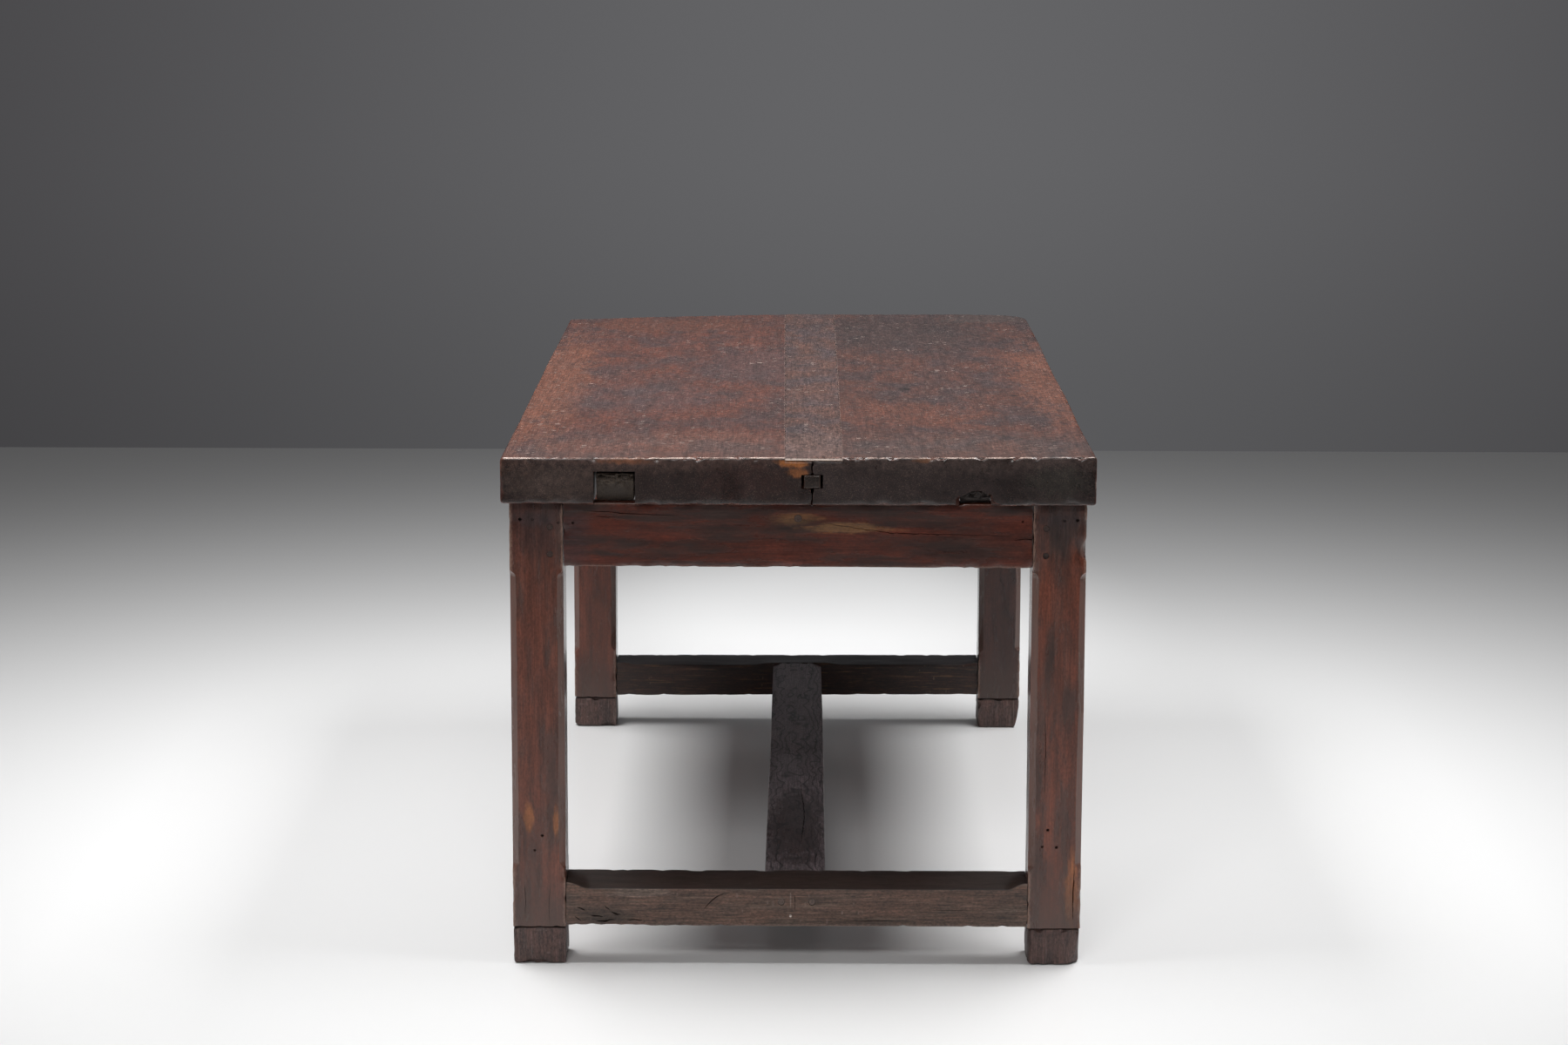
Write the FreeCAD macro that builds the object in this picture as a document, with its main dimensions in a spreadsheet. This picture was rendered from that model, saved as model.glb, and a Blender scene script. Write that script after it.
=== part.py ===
import FreeCAD, Part
import math
import os
import Sketcher

# An old farmhouse dining table, standing on the floor.
# X runs across the table, Y along it with the near end at minus Y, and Z up.
# The origin is on the floor, under the middle of the top.
# Lengths are millimetres.

Vector = FreeCAD.Vector
Rotation = FreeCAD.Rotation

# Every size that can be set by itself.
SIZES = {
    # the top, two planks with the seam a little right of the middle
    "overall_height": 760,
    "top_length": 1700,
    "top_width": 854,
    "top_thickness": 72,
    "seam_offset": 20,
    "far_slant": 60,
    "far_corner_radius": 60,
    "plank_corner_radius": 8,
    "plank_arris": 4,
    # the loose tongue in the seam, and the strip let in over the seam
    "tongue_width": 24,
    "tongue_height": 19,
    "groove_width": 31,
    "groove_headroom": 2,
    "groove_floor": 25,
    "strip_thickness": 5,
    "strip_near_width": 78,
    "strip_far_width": 91,
    "strip_near_shift": 4,
    "strip_far_shift": 1,
    "strip_gap": 0.3,
    # sockets for leaf runners, cut up into the planks from the near end
    "socket_length": 300,
    "left_socket_place": 263,
    "left_socket_width": 60,
    "left_socket_height": 49,
    "left_stub_height": 24,
    "left_stub_setback": 12,
    "right_socket_place": 254,
    "right_socket_width": 48,
    "right_socket_height": 22,
    "right_stub_height": 13,
    "right_stub_setback": 8,
    "stub_gap": 0.2,
    "stub_break": 14,
    "chip_width": 60,
    "chip_side": 12,
    "chip_crown": 24,
    "chip_depth": 7,
    # the frame of legs and aprons
    "near_overhang": 20,
    "far_overhang": 90,
    "side_overhang": 11,
    "leg_square": 78,
    "foot_height": 56,
    "foot_round": 7,
    "chamfer_leg": 9.5,
    "chamfer_top_drop": 4,
    "chamfer_foot": 150,
    "scoop_radius": 13,
    "stop_slope_share": 1.6,
    "apron_height": 94,
    "apron_thickness": 30,
    "tenon_length": 50,
    "tenon_thickness": 12,
    "tenon_height": 72,
    "tenon_lift": 8,
    "tenon_set": 9,
    "mortise_spare": 1,
    "joint_gap": 0.2,
    # pegs whittled to eight flats, their diameters across the corners, and round dowels
    "peg_diameter": 9,
    "peg_length": 45,
    "peg_set": 19,
    "peg_low": 18,
    "peg_high": 58,
    "peg_gap": 0.1,
    "leg_dowel_diameter": 20,
    "leg_dowel_grip": 45,
    "foot_dowel_diameter": 16,
    "foot_dowel_up": 40,
    "foot_dowel_down": 30,
    "foot_dowel_shift": 17,
    # the stretchers
    "stretcher_low": 58,
    "stretcher_height": 66,
    "stretcher_depth": 72,
    "stretcher_tenon_length": 40,
    "stretcher_tenon_thickness": 24,
    "stretcher_tenon_height": 46,
    "wear_nib": 20,
    "wear_sag": 4,
    "bar_width": 90,
    "bar_height": 58,
    "bar_peg_diameter": 10,
    "bar_peg_spacing": 45,
    "bar_peg_grip": 60,
    # the bearer under the seam
    "bearer_width": 60,
    "bearer_height": 45,
    "bearer_peg_diameter": 11,
    "bearer_peg_grip": 60,
    # how far a cut runs past the wood that it cuts
    "overrun": 5,
}

# Sizes that follow from the ones above.
WORKED = {
    "top_under": "Sizes.overall_height - Sizes.top_thickness",
    "near_end": "-Sizes.top_length / 2",
    "left_width": "Sizes.top_width / 2 + Sizes.seam_offset",
    "right_width": "Sizes.top_width / 2 - Sizes.seam_offset",
    "groove_half": "Sizes.groove_width / 2",
    "groove_height": "Sizes.tongue_height + Sizes.groove_headroom",
    "strip_near_left": "Sizes.strip_near_width / 2 - Sizes.strip_near_shift",
    "strip_near_right": "Sizes.strip_near_width / 2 + Sizes.strip_near_shift",
    "strip_far_left": "Sizes.strip_far_width / 2 - Sizes.strip_far_shift",
    "strip_far_right": "Sizes.strip_far_width / 2 + Sizes.strip_far_shift",
    "chip_rise": "Sizes.chip_crown - Sizes.chip_side",
    "frame_length": "Sizes.top_length - Sizes.near_overhang - Sizes.far_overhang",
    "frame_near": "near_end + Sizes.near_overhang",
    "frame_far": "frame_near + frame_length",
    "frame_mid": "frame_near + frame_length / 2",
    "frame_half": "Sizes.top_width / 2 - Sizes.side_overhang",
    "leg_half": "Sizes.leg_square / 2",
    "leg_x": "frame_half - Sizes.leg_square / 2",
    "inner_x": "frame_half - Sizes.leg_square",
    "apron_run": "frame_length - 2 * Sizes.leg_square",
    "apron_low": "top_under - Sizes.apron_height",
    "tenon_low": "apron_low + Sizes.tenon_lift",
    "tenon_high": "apron_low + Sizes.tenon_lift + Sizes.tenon_height",
    "tenon_in": "Sizes.tenon_set + Sizes.tenon_thickness",
    "peg_low_z": "apron_low + Sizes.peg_low",
    "peg_high_z": "apron_low + Sizes.peg_high",
    "peg_hole": "Sizes.peg_diameter + 2 * Sizes.peg_gap",
    "chamfer_reach": "(Sizes.leg_square - Sizes.chamfer_leg) / sqrt(2)",
    "chamfer_out": "chamfer_reach + Sizes.scoop_radius",
    "chamfer_top": "apron_low - Sizes.chamfer_top_drop",
    "stretcher_high": "Sizes.stretcher_low + Sizes.stretcher_height",
    "stretcher_mid": "Sizes.stretcher_low + Sizes.stretcher_height / 2",
    "stretcher_tenon_set": "(Sizes.stretcher_depth - Sizes.stretcher_tenon_thickness) / 2",
    "stretcher_tenon_in": "(Sizes.stretcher_depth + Sizes.stretcher_tenon_thickness) / 2",
    "stretcher_tenon_low": "stretcher_mid - Sizes.stretcher_tenon_height / 2",
    "stretcher_tenon_high": "stretcher_mid + Sizes.stretcher_tenon_height / 2",
    "bar_half": "Sizes.bar_width / 2",
    "bar_run": "frame_length - 2 * Sizes.stretcher_depth",
    "bar_low": "stretcher_high - Sizes.bar_height",
    "bar_mid": "stretcher_high - Sizes.bar_height / 2",
    "bar_peg_hole": "Sizes.bar_peg_diameter + 2 * Sizes.peg_gap",
    "wear_from": "bar_half + Sizes.wear_nib",
    "wear_to": "inner_x - Sizes.wear_nib",
    "wear_chord": "wear_to - wear_from",
    "wear_radius": "(wear_chord^2 / 4 + Sizes.wear_sag^2) / (2 * Sizes.wear_sag)",
    "bearer_half": "Sizes.bearer_width / 2",
    "bearer_run": "frame_length - 2 * Sizes.apron_thickness",
    "bearer_low": "top_under - Sizes.bearer_height",
    "bearer_mid": "top_under - Sizes.bearer_height / 2",
    "bearer_peg_hole": "Sizes.bearer_peg_diameter + 2 * Sizes.peg_gap",
    "leg_dowel_hole": "Sizes.leg_dowel_diameter + 2 * Sizes.peg_gap",
    "foot_dowel_hole": "Sizes.foot_dowel_diameter + 2 * Sizes.peg_gap",
}

LEFT, RIGHT = -1, 1
NEAR, FAR = -1, 1

# Which way the normal of a sketch on each origin plane points along the axis that crosses it.
NORMAL_WAY = {"XY": 1, "XZ": -1, "YZ": 1}
# The flats of a whittled peg, and of its hole, into which its corners have pressed themselves.
PEG_SIDES = 8
# Headroom for comparing lengths and volumes.
TINY = 1e-4

doc = FreeCAD.newDocument("DiningTable")


def fill_sheet(name, cells, prefix):
    """A sheet with one row for each size: its name, and its value under that name as alias."""
    sheet = doc.addObject("Spreadsheet::Sheet", name)
    for row, (alias, content) in enumerate(cells.items(), 1):
        sheet.set(f"A{row}", alias)
        sheet.set(f"B{row}", prefix + str(content))
        sheet.setAlias(f"B{row}", alias)


fill_sheet("Sizes", SIZES, "")
fill_sheet("Worked", WORKED, "=")
doc.recompute()


def number(expression):
    """The present value of an expression over the two sheets."""
    return float(doc.getObject("Sizes").evalExpression(str(expression)))


def new_body(label, x="0", y="0", z="0"):
    """An empty body that stands at the given place."""
    body = doc.addObject("PartDesign::Body", label)
    body.Label = label
    for axis, place in zip("xyz", (x, y, z)):
        body.setExpression(f"Placement.Base.{axis}", place)
    return body


def new_sketch(body, name, plane, along, turn=0):
    """A sketch on one of the body's own planes, moved along the axis that crosses it."""
    sketch = body.newObject("Sketcher::SketchObject", name + "Sketch")
    origin_plane = [f for f in body.Origin.OriginFeatures if f.Role == plane + "_Plane"][0]
    sketch.AttachmentSupport = (origin_plane, [""])
    sketch.MapMode = "FlatFace"
    sketch.AttachmentOffset = FreeCAD.Placement(Vector(), Rotation(Vector(0, 1, 0), turn))
    sketch.setExpression("AttachmentOffset.Base.z", f"{NORMAL_WAY[plane]} * ({along})")
    return sketch


def fix_point(sketch, geometry, point, x, y):
    """Tie one point of the sketch to its two coordinates, each an expression."""
    for kind, place in (("DistanceX", x), ("DistanceY", y)):
        rule = Sketcher.Constraint(kind, -1, 1, geometry, point, number(place))
        index = sketch.addConstraint(rule)
        sketch.setExpression(f"Constraints[{index}]", place)


def arc_between(start, end, radius):
    """The short arc that joins two points, bulging to the right of that way if radius is positive."""
    if radius < 0:
        start, end = end, start
    span = end - start
    half = span.Length / 2
    left = Vector(-span.y, span.x, 0).normalize()
    centre = (start + end) / 2 + left * math.sqrt(max(radius * radius - half * half, 0))
    first, last = (math.atan2(p.y - centre.y, p.x - centre.x) for p in (start, end))
    if last < first:
        last += 2 * math.pi
    return Part.ArcOfCircle(Part.Circle(centre, Vector(0, 0, 1), abs(radius)), first, last)


def draw_outline(sketch, corners, arcs=None):
    """A closed outline through the corners; arcs gives the radius of the sides that are curved."""
    arcs = arcs or {}
    points = [Vector(number(x), number(y), 0) for x, y in corners]
    first = sketch.GeometryCount
    count = len(points)
    ends = []
    for i, start in enumerate(points):
        end = points[(i + 1) % count]
        if i in arcs:
            # an arc is drawn anticlockwise, so its two ends are swapped where it bulges to the left
            radius = number(arcs[i])
            sketch.addGeometry(arc_between(start, end, radius), False)
            ends.append((1, 2) if radius > 0 else (2, 1))
        else:
            sketch.addGeometry(Part.LineSegment(start, end), False)
            ends.append((1, 2))
    for i in range(count):
        following = (i + 1) % count
        rule = Sketcher.Constraint(
            "Coincident", first + i, ends[i][1], first + following, ends[following][0])
        sketch.addConstraint(rule)
    for i, (x, y) in enumerate(corners):
        fix_point(sketch, first + i, ends[i][0], x, y)
    for i, radius in arcs.items():
        size = f"abs({radius})"
        index = sketch.addConstraint(Sketcher.Constraint("Radius", first + i, number(size)))
        sketch.setExpression(f"Constraints[{index}]", size)


def rectangle(a, b, c, d):
    """The corners of a rectangle from a to b across and from c to d up."""
    return [(a, c), (b, c), (b, d), (a, d)]


def draw_circle(sketch, x, y, diameter):
    """A circle round the given centre."""
    centre = Vector(number(x), number(y), 0)
    index = sketch.addGeometry(Part.Circle(centre, Vector(0, 0, 1), number(diameter) / 2), False)
    fix_point(sketch, index, 3, x, y)
    rule = sketch.addConstraint(Sketcher.Constraint("Diameter", index, number(diameter)))
    sketch.setExpression(f"Constraints[{rule}]", diameter)


def draw_flats(sketch, x, y, diameter):
    """The section of a whittled peg round the given centre, diameter being across its corners."""
    turns = [360 * corner / PEG_SIDES for corner in range(PEG_SIDES)]
    corners = [(f"{x} + cos({turn} deg) * {diameter} / 2", f"{y} + sin({turn} deg) * {diameter} / 2")
               for turn in turns]
    draw_outline(sketch, corners)


def add_pad(body, name, plane, along, way, length, corners, arcs=None):
    """Wood with the given outline, from the plane at along towards way, 1 or -1."""
    sketch = new_sketch(body, name, plane, along)
    draw_outline(sketch, corners, arcs)
    pad = body.newObject("PartDesign::Pad", name)
    pad.Profile = sketch
    pad.setExpression("Length", length)
    pad.Reversed = way != NORMAL_WAY[plane]
    return pad


def finish_pocket(body, name, sketch, plane, way, depth):
    """Cut the sketch into the body towards way, 1 or -1."""
    pocket = body.newObject("PartDesign::Pocket", name)
    pocket.Profile = sketch
    pocket.setExpression("Length", depth)
    pocket.Reversed = way == NORMAL_WAY[plane]
    return pocket


def add_cut(body, name, plane, along, way, depth, corners, arcs=None):
    """A recess with the given outline, from the plane at along towards way."""
    sketch = new_sketch(body, name, plane, along)
    draw_outline(sketch, corners, arcs)
    return finish_pocket(body, name, sketch, plane, way, depth)


def add_holes(body, name, plane, along, way, depth, centres, diameter, draw_hole=draw_flats):
    """Holes of one diameter, from the plane at along towards way, for pegs unless draw_circle is given."""
    sketch = new_sketch(body, name, plane, along)
    for x, y in centres:
        draw_hole(sketch, x, y, diameter)
    return finish_pocket(body, name, sketch, plane, way, depth)


def add_fillet(body, name, radius, wanted):
    """Round the edges of the body's tip for which wanted(edge) is true."""
    doc.recompute()
    base = body.Tip
    edges = [f"Edge{i}" for i, edge in enumerate(base.Shape.Edges, 1) if wanted(edge)]
    if not edges:
        raise RuntimeError(f"{body.Label}: no edge found for {name}")
    fillet = body.newObject("PartDesign::Fillet", name)
    fillet.Base = (base, edges)
    fillet.setExpression("Radius", radius)


def runs_along(edge, axis):
    """Whether a straight edge runs along the axis, 0 for X, 1 for Y or 2 for Z."""
    start, end = edge.Vertexes[0].Point, edge.Vertexes[-1].Point
    span = end - start
    return span.Length > TINY and abs(abs(span[axis]) - span.Length) < TINY


def lies_at(edge, axis, place):
    """Whether the whole edge lies at one place on an axis."""
    return all(abs(vertex.Point[axis] - place) < TINY for vertex in edge.Vertexes)


def make_plank(label, side):
    """One plank of the top, with its seam face at local X of zero and its underside at zero."""
    body = new_body(label, "Sizes.seam_offset", "Worked.near_end", "Worked.top_under")
    width = "Worked.left_width" if side == LEFT else "Worked.right_width"
    outer = f"{side} * {width}"
    if side == LEFT:
        turn = "-(Worked.strip_far_left + Sizes.strip_gap)"
        slant = "Sizes.top_length - Sizes.far_slant"
        far_end = [(turn, "Sizes.top_length"), (outer, slant)]
        far_radius = "Sizes.plank_corner_radius"
    else:
        far_end = [(outer, "Sizes.top_length")]
        far_radius = "Sizes.far_corner_radius"
    corners = [("0", "0"), ("0", "Sizes.top_length")] + far_end + [(outer, "0")]
    add_pad(body, "Plank", "XY", "0", 1, "Sizes.top_thickness", corners)
    outer_x = number(outer)

    def near_corner(edge):
        return runs_along(edge, 2) and lies_at(edge, 0, outer_x) and lies_at(edge, 1, 0)

    def far_corner(edge):
        return runs_along(edge, 2) and lies_at(edge, 0, outer_x) and not lies_at(edge, 1, 0)

    def outer_arris(edge):
        return runs_along(edge, 1) and lies_at(edge, 0, outer_x)

    add_fillet(body, "NearCorner", "Sizes.plank_corner_radius", near_corner)
    add_fillet(body, "FarCorner", far_radius, far_corner)
    add_fillet(body, "Arris", "Sizes.plank_arris", outer_arris)

    # half of the groove for the loose tongue, open at the seam
    groove = rectangle(
        f"{-side} * Sizes.overrun", f"{side} * Worked.groove_half",
        "Sizes.groove_floor", "Sizes.groove_floor + Worked.groove_height")
    add_cut(body, "Groove", "XZ", "0", 1, "Sizes.top_length", groove)

    # the rebate for the strip, a little wider at the far end
    hand = "left" if side == LEFT else "right"
    near_edge = f"{side} * (Worked.strip_near_{hand} + Sizes.strip_gap)"
    far_edge = f"{side} * (Worked.strip_far_{hand} + Sizes.strip_gap)"
    past = f"{-side} * Sizes.overrun"
    rebate = [(past, "0"), (near_edge, "0"), (far_edge, "Sizes.top_length"), (past, "Sizes.top_length")]
    add_cut(body, "Rebate", "XY", "Sizes.top_thickness", -1, "Sizes.strip_thickness", rebate)

    # the socket for a leaf runner, open at the near end and underneath
    place = f"({side} * Sizes.{hand}_socket_place - Sizes.seam_offset)"
    half = f"Sizes.{hand}_socket_width / 2"
    socket = rectangle(
        f"{place} - {half}", f"{place} + {half}", "-Sizes.overrun", f"Sizes.{hand}_socket_height")
    add_cut(body, "Socket", "XZ", "0", 1, "Sizes.socket_length", socket)
    if side == RIGHT:
        add_chip(body, place)

    # blind holes for the dowels that locate the plank on the legs
    dowel_x = f"{side} * Worked.leg_x - Sizes.seam_offset"
    centres = [
        (dowel_x, "Sizes.near_overhang + Worked.leg_half"),
        (dowel_x, "Sizes.near_overhang + Worked.frame_length - Worked.leg_half"),
    ]
    add_holes(body, "LegDowelHoles", "XY", "0", 1, "Sizes.leg_dowel_grip", centres,
              "Worked.leg_dowel_hole", draw_circle)


def add_chip(body, place):
    """The broken mouth of the right socket, an arch wider and higher than the socket."""
    half = "Sizes.chip_width / 2"
    low = "-Sizes.overrun"
    corners = [
        (f"{place} - {half}", low), (f"{place} + {half}", low),
        (f"{place} + {half}", "Sizes.chip_side"), (f"{place} - {half}", "Sizes.chip_side"),
    ]
    radius = f"(({half})^2 + Worked.chip_rise^2) / (2 * Worked.chip_rise)"
    add_cut(body, "Chip", "XZ", "0", 1, "Sizes.chip_depth", corners, {2: radius})


def make_tongue():
    """The loose tongue, lying on the floor of the groove, as long as the planks."""
    body = new_body("seam_tongue", "Sizes.seam_offset", "Worked.near_end",
                    "Worked.top_under + Sizes.groove_floor")
    half = "Sizes.tongue_width / 2"
    section = rectangle(f"-{half}", half, "0", "Sizes.tongue_height")
    add_pad(body, "Tongue", "XZ", "0", 1, "Sizes.top_length", section)


def make_strip():
    """The thin strip let in over the seam, with its two ends rounded like the planks."""
    body = new_body("seam_strip", "Sizes.seam_offset", "Worked.near_end",
                    "Sizes.overall_height - Sizes.strip_thickness")
    corners = [
        ("-Worked.strip_near_left", "0"), ("Worked.strip_near_right", "0"),
        ("Worked.strip_far_right", "Sizes.top_length"), ("-Worked.strip_far_left", "Sizes.top_length"),
    ]
    add_pad(body, "Strip", "XY", "0", 1, "Sizes.strip_thickness", corners)

    def end_arris(edge):
        return runs_along(edge, 0) and lies_at(edge, 2, number("Sizes.strip_thickness"))

    add_fillet(body, "EndArris", "Sizes.plank_arris", end_arris)


def make_stub(side):
    """What is left of a leaf runner, tight under the ceiling of its socket, broken off slanting."""
    hand = "left" if side == LEFT else "right"
    body = new_body(
        f"runner_stub_{hand}", f"{side} * Sizes.{hand}_socket_place", "Worked.near_end",
        f"Worked.top_under + Sizes.{hand}_socket_height")
    half = f"(Sizes.{hand}_socket_width / 2 - Sizes.stub_gap)"
    setback = f"Sizes.{hand}_stub_setback"
    height = f"Sizes.{hand}_stub_height"
    section = rectangle(f"-{half}", half, f"-{height}", "0")
    add_pad(body, "Stub", "XZ", setback, 1, f"Sizes.socket_length - {setback}", section)
    # the break leans back from the ceiling to the lower edge
    broken = [
        (f"{setback} - Sizes.overrun", "0"), (setback, "0"),
        (f"{setback} + Sizes.stub_break", f"-{height}"),
        (f"{setback} - Sizes.overrun", f"-{height}"),
    ]
    add_cut(body, "Break", "YZ", f"-{half}", 1, f"2 * {half}", broken)


def make_leg(label, side, end):
    """A square leg with chamfered corners, on its own axis, its mortises facing along the frame."""
    middle = "Worked.frame_near + Worked.leg_half" if end == NEAR else "Worked.frame_far - Worked.leg_half"
    body = new_body(label, f"{side} * Worked.leg_x", middle)
    half = "Worked.leg_half"
    square = rectangle(f"-{half}", half, f"-{half}", half)
    add_pad(body, "Shaft", "XY", "Sizes.foot_height", 1, "Worked.top_under - Sizes.foot_height", square)
    add_stopped_chamfers(body)

    inner_x = f"{-side} * {half}"
    inner_y = f"{-end} * {half}"
    height = ("Worked.tenon_low - Sizes.joint_gap", "Worked.tenon_high + Sizes.joint_gap")
    outer_cheek = f"({half} - Sizes.tenon_set + Sizes.joint_gap)"
    inner_cheek = f"({half} - Worked.tenon_in - Sizes.joint_gap)"
    depth = "Sizes.tenon_length + Sizes.mortise_spare"
    add_cut(body, "EndMortise", "YZ", inner_x, side, depth,
            rectangle(f"{end} * {inner_cheek}", f"{end} * {outer_cheek}", *height))
    add_cut(body, "SideMortise", "XZ", inner_y, end, depth,
            rectangle(f"{side} * {inner_cheek}", f"{side} * {outer_cheek}", *height))
    add_cut(body, "StretcherMortise", "YZ", inner_x, side,
            "Sizes.stretcher_tenon_length + Sizes.mortise_spare",
            rectangle(f"{end} * ({half} - Worked.stretcher_tenon_in - Sizes.joint_gap)",
                      f"{end} * ({half} - Worked.stretcher_tenon_set + Sizes.joint_gap)",
                      "Worked.stretcher_tenon_low - Sizes.joint_gap",
                      "Worked.stretcher_tenon_high + Sizes.joint_gap"))

    peg_x = f"{-side} * ({half} - Sizes.peg_set)"
    peg_y = f"{-end} * ({half} - Sizes.peg_set)"
    levels = ("Worked.peg_low_z", "Worked.peg_high_z")
    add_holes(body, "EndPegHoles", "XZ", f"{end} * {half}", -end, "Sizes.peg_length",
              [(peg_x, level) for level in levels], "Worked.peg_hole")
    add_holes(body, "SidePegHoles", "YZ", f"{side} * {half}", -side, "Sizes.peg_length",
              [(peg_y, level) for level in levels], "Worked.peg_hole")
    add_holes(body, "TopDowelHole", "XY", "Worked.top_under", -1, "Sizes.leg_dowel_grip",
              [("0", "0")], "Worked.leg_dowel_hole", draw_circle)
    add_holes(body, "FootDowelHole", "XY", "Sizes.foot_height", 1, "Sizes.foot_dowel_up",
              [(f"{side} * Sizes.foot_dowel_shift", "0")], "Worked.foot_dowel_hole", draw_circle)


def add_stopped_chamfers(body):
    """The four chamfers, each scooped out at its upper stop and sloping out at its lower one."""
    sketch = new_sketch(body, "Chamfer", "XZ", "0", 45)
    foot_out = "Sizes.chamfer_foot - Sizes.stop_slope_share * Sizes.scoop_radius"
    corners = [
        ("Worked.chamfer_reach", "Sizes.chamfer_foot"), ("Worked.chamfer_out", foot_out),
        ("Worked.chamfer_out", "Worked.chamfer_top"),
        ("Worked.chamfer_reach", "Worked.chamfer_top - Sizes.scoop_radius"),
    ]
    draw_outline(sketch, corners, {2: "-Sizes.scoop_radius"})
    pocket = body.newObject("PartDesign::Pocket", "Chamfer")
    pocket.Profile = sketch
    pocket.SideType = "Symmetric"
    pocket.setExpression("Length", "Sizes.leg_square")
    pattern = body.newObject("PartDesign::PolarPattern", "Chamfers")
    pattern.Originals = [pocket]
    axis = [f for f in body.Origin.OriginFeatures if f.Role == "Z_Axis"][0]
    pattern.Axis = (axis, [""])
    pattern.Angle = 360
    pattern.Occurrences = 4
    body.Tip = pattern


def make_foot(label, side, end):
    """The block that lengthens a leg down to the floor, with its lower edges rounded off."""
    middle = "Worked.frame_near + Worked.leg_half" if end == NEAR else "Worked.frame_far - Worked.leg_half"
    body = new_body(label, f"{side} * Worked.leg_x", middle)
    half = "Worked.leg_half"
    add_pad(body, "Block", "XY", "0", 1, "Sizes.foot_height", rectangle(f"-{half}", half, f"-{half}", half))
    add_fillet(body, "Round", "Sizes.foot_round", lambda edge: lies_at(edge, 2, 0))
    add_holes(body, "DowelHole", "XY", "Sizes.foot_height", -1, "Sizes.foot_dowel_down",
              [(f"{side} * Sizes.foot_dowel_shift", "0")], "Worked.foot_dowel_hole", draw_circle)


def make_end_apron(label, end):
    """The rail across one end, flush with the legs and tenoned into them."""
    body = new_body(label, "0", "Worked.frame_near" if end == NEAR else "Worked.frame_far")
    board = rectangle("0", f"{-end} * Sizes.apron_thickness", "Worked.apron_low", "Worked.top_under")
    add_pad(body, "Board", "YZ", "-Worked.inner_x", 1, "2 * Worked.inner_x", board)
    tenon = rectangle(f"{-end} * Sizes.tenon_set", f"{-end} * Worked.tenon_in",
                      "Worked.tenon_low", "Worked.tenon_high")
    add_pad(body, "Tenons", "YZ", "-(Worked.inner_x + Sizes.tenon_length)", 1,
            "2 * (Worked.inner_x + Sizes.tenon_length)", tenon)
    peg_x = "(Worked.inner_x + Sizes.peg_set)"
    centres = [(f"{side} * {peg_x}", level) for side in (LEFT, RIGHT)
               for level in ("Worked.peg_low_z", "Worked.peg_high_z")]
    add_holes(body, "PegHoles", "XZ", "0", -end, "Sizes.apron_thickness", centres, "Worked.peg_hole")
    add_holes(body, "BearerPegHole", "XZ", "0", -end, "Sizes.apron_thickness",
              [("0", "Worked.bearer_mid")], "Worked.bearer_peg_hole")


def make_side_apron(label, side):
    """The rail along one side, flush with the legs and tenoned into them."""
    body = new_body(label, f"{side} * Worked.frame_half", "Worked.frame_mid")
    board = rectangle("0", f"{-side} * Sizes.apron_thickness", "Worked.apron_low", "Worked.top_under")
    add_pad(body, "Board", "XZ", "-Worked.apron_run / 2", 1, "Worked.apron_run", board)
    tenon = rectangle(f"{-side} * Sizes.tenon_set", f"{-side} * Worked.tenon_in",
                      "Worked.tenon_low", "Worked.tenon_high")
    add_pad(body, "Tenons", "XZ", "-(Worked.apron_run / 2 + Sizes.tenon_length)", 1,
            "Worked.apron_run + 2 * Sizes.tenon_length", tenon)
    peg_y = "(Worked.apron_run / 2 + Sizes.peg_set)"
    centres = [(f"{end} * {peg_y}", level) for end in (NEAR, FAR)
               for level in ("Worked.peg_low_z", "Worked.peg_high_z")]
    add_holes(body, "PegHoles", "YZ", "0", -side, "Sizes.apron_thickness", centres, "Worked.peg_hole")


def make_bearer():
    """The bearer under the seam, butted between the end aprons and pegged through them."""
    body = new_body("centre_bearer", "0", "Worked.frame_mid")
    section = rectangle("-Worked.bearer_half", "Worked.bearer_half", "Worked.bearer_low", "Worked.top_under")
    add_pad(body, "Bearer", "XZ", "-Worked.bearer_run / 2", 1, "Worked.bearer_run", section)
    for name, end in (("NearPegHole", NEAR), ("FarPegHole", FAR)):
        add_holes(body, name, "XZ", f"{end} * Worked.bearer_run / 2", -end, "Sizes.bearer_peg_grip",
                  [("0", "Worked.bearer_mid")], "Worked.bearer_peg_hole")


def make_end_stretcher(label, end):
    """The low rail across one end, its top worn hollow by feet on both sides of the long bar."""
    body = new_body(label, "0", "Worked.frame_near" if end == NEAR else "Worked.frame_far")
    rail = rectangle("0", f"{-end} * Sizes.stretcher_depth", "Sizes.stretcher_low", "Worked.stretcher_high")
    add_pad(body, "Rail", "YZ", "-Worked.inner_x", 1, "2 * Worked.inner_x", rail)
    tenon = rectangle(f"{-end} * Worked.stretcher_tenon_set", f"{-end} * Worked.stretcher_tenon_in",
                      "Worked.stretcher_tenon_low", "Worked.stretcher_tenon_high")
    add_pad(body, "Tenons", "YZ", "-(Worked.inner_x + Sizes.stretcher_tenon_length)", 1,
            "2 * (Worked.inner_x + Sizes.stretcher_tenon_length)", tenon)
    for name, side in (("LeftWear", LEFT), ("RightWear", RIGHT)):
        inner, outer = f"{side} * Worked.wear_from", f"{side} * Worked.wear_to"
        low, high = "Worked.stretcher_high", "Worked.stretcher_high + Sizes.overrun"
        hollow = [(inner, low), (outer, low), (outer, high), (inner, high)]
        add_cut(body, name, "XZ", "0", -end, "Sizes.stretcher_depth", hollow,
                {0: f"{side} * Worked.wear_radius"})
    centres = [(f"{side} * Sizes.bar_peg_spacing / 2", "Worked.bar_mid") for side in (LEFT, RIGHT)]
    add_holes(body, "PegHoles", "XZ", "0", -end, "Sizes.stretcher_depth", centres, "Worked.bar_peg_hole")


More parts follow.
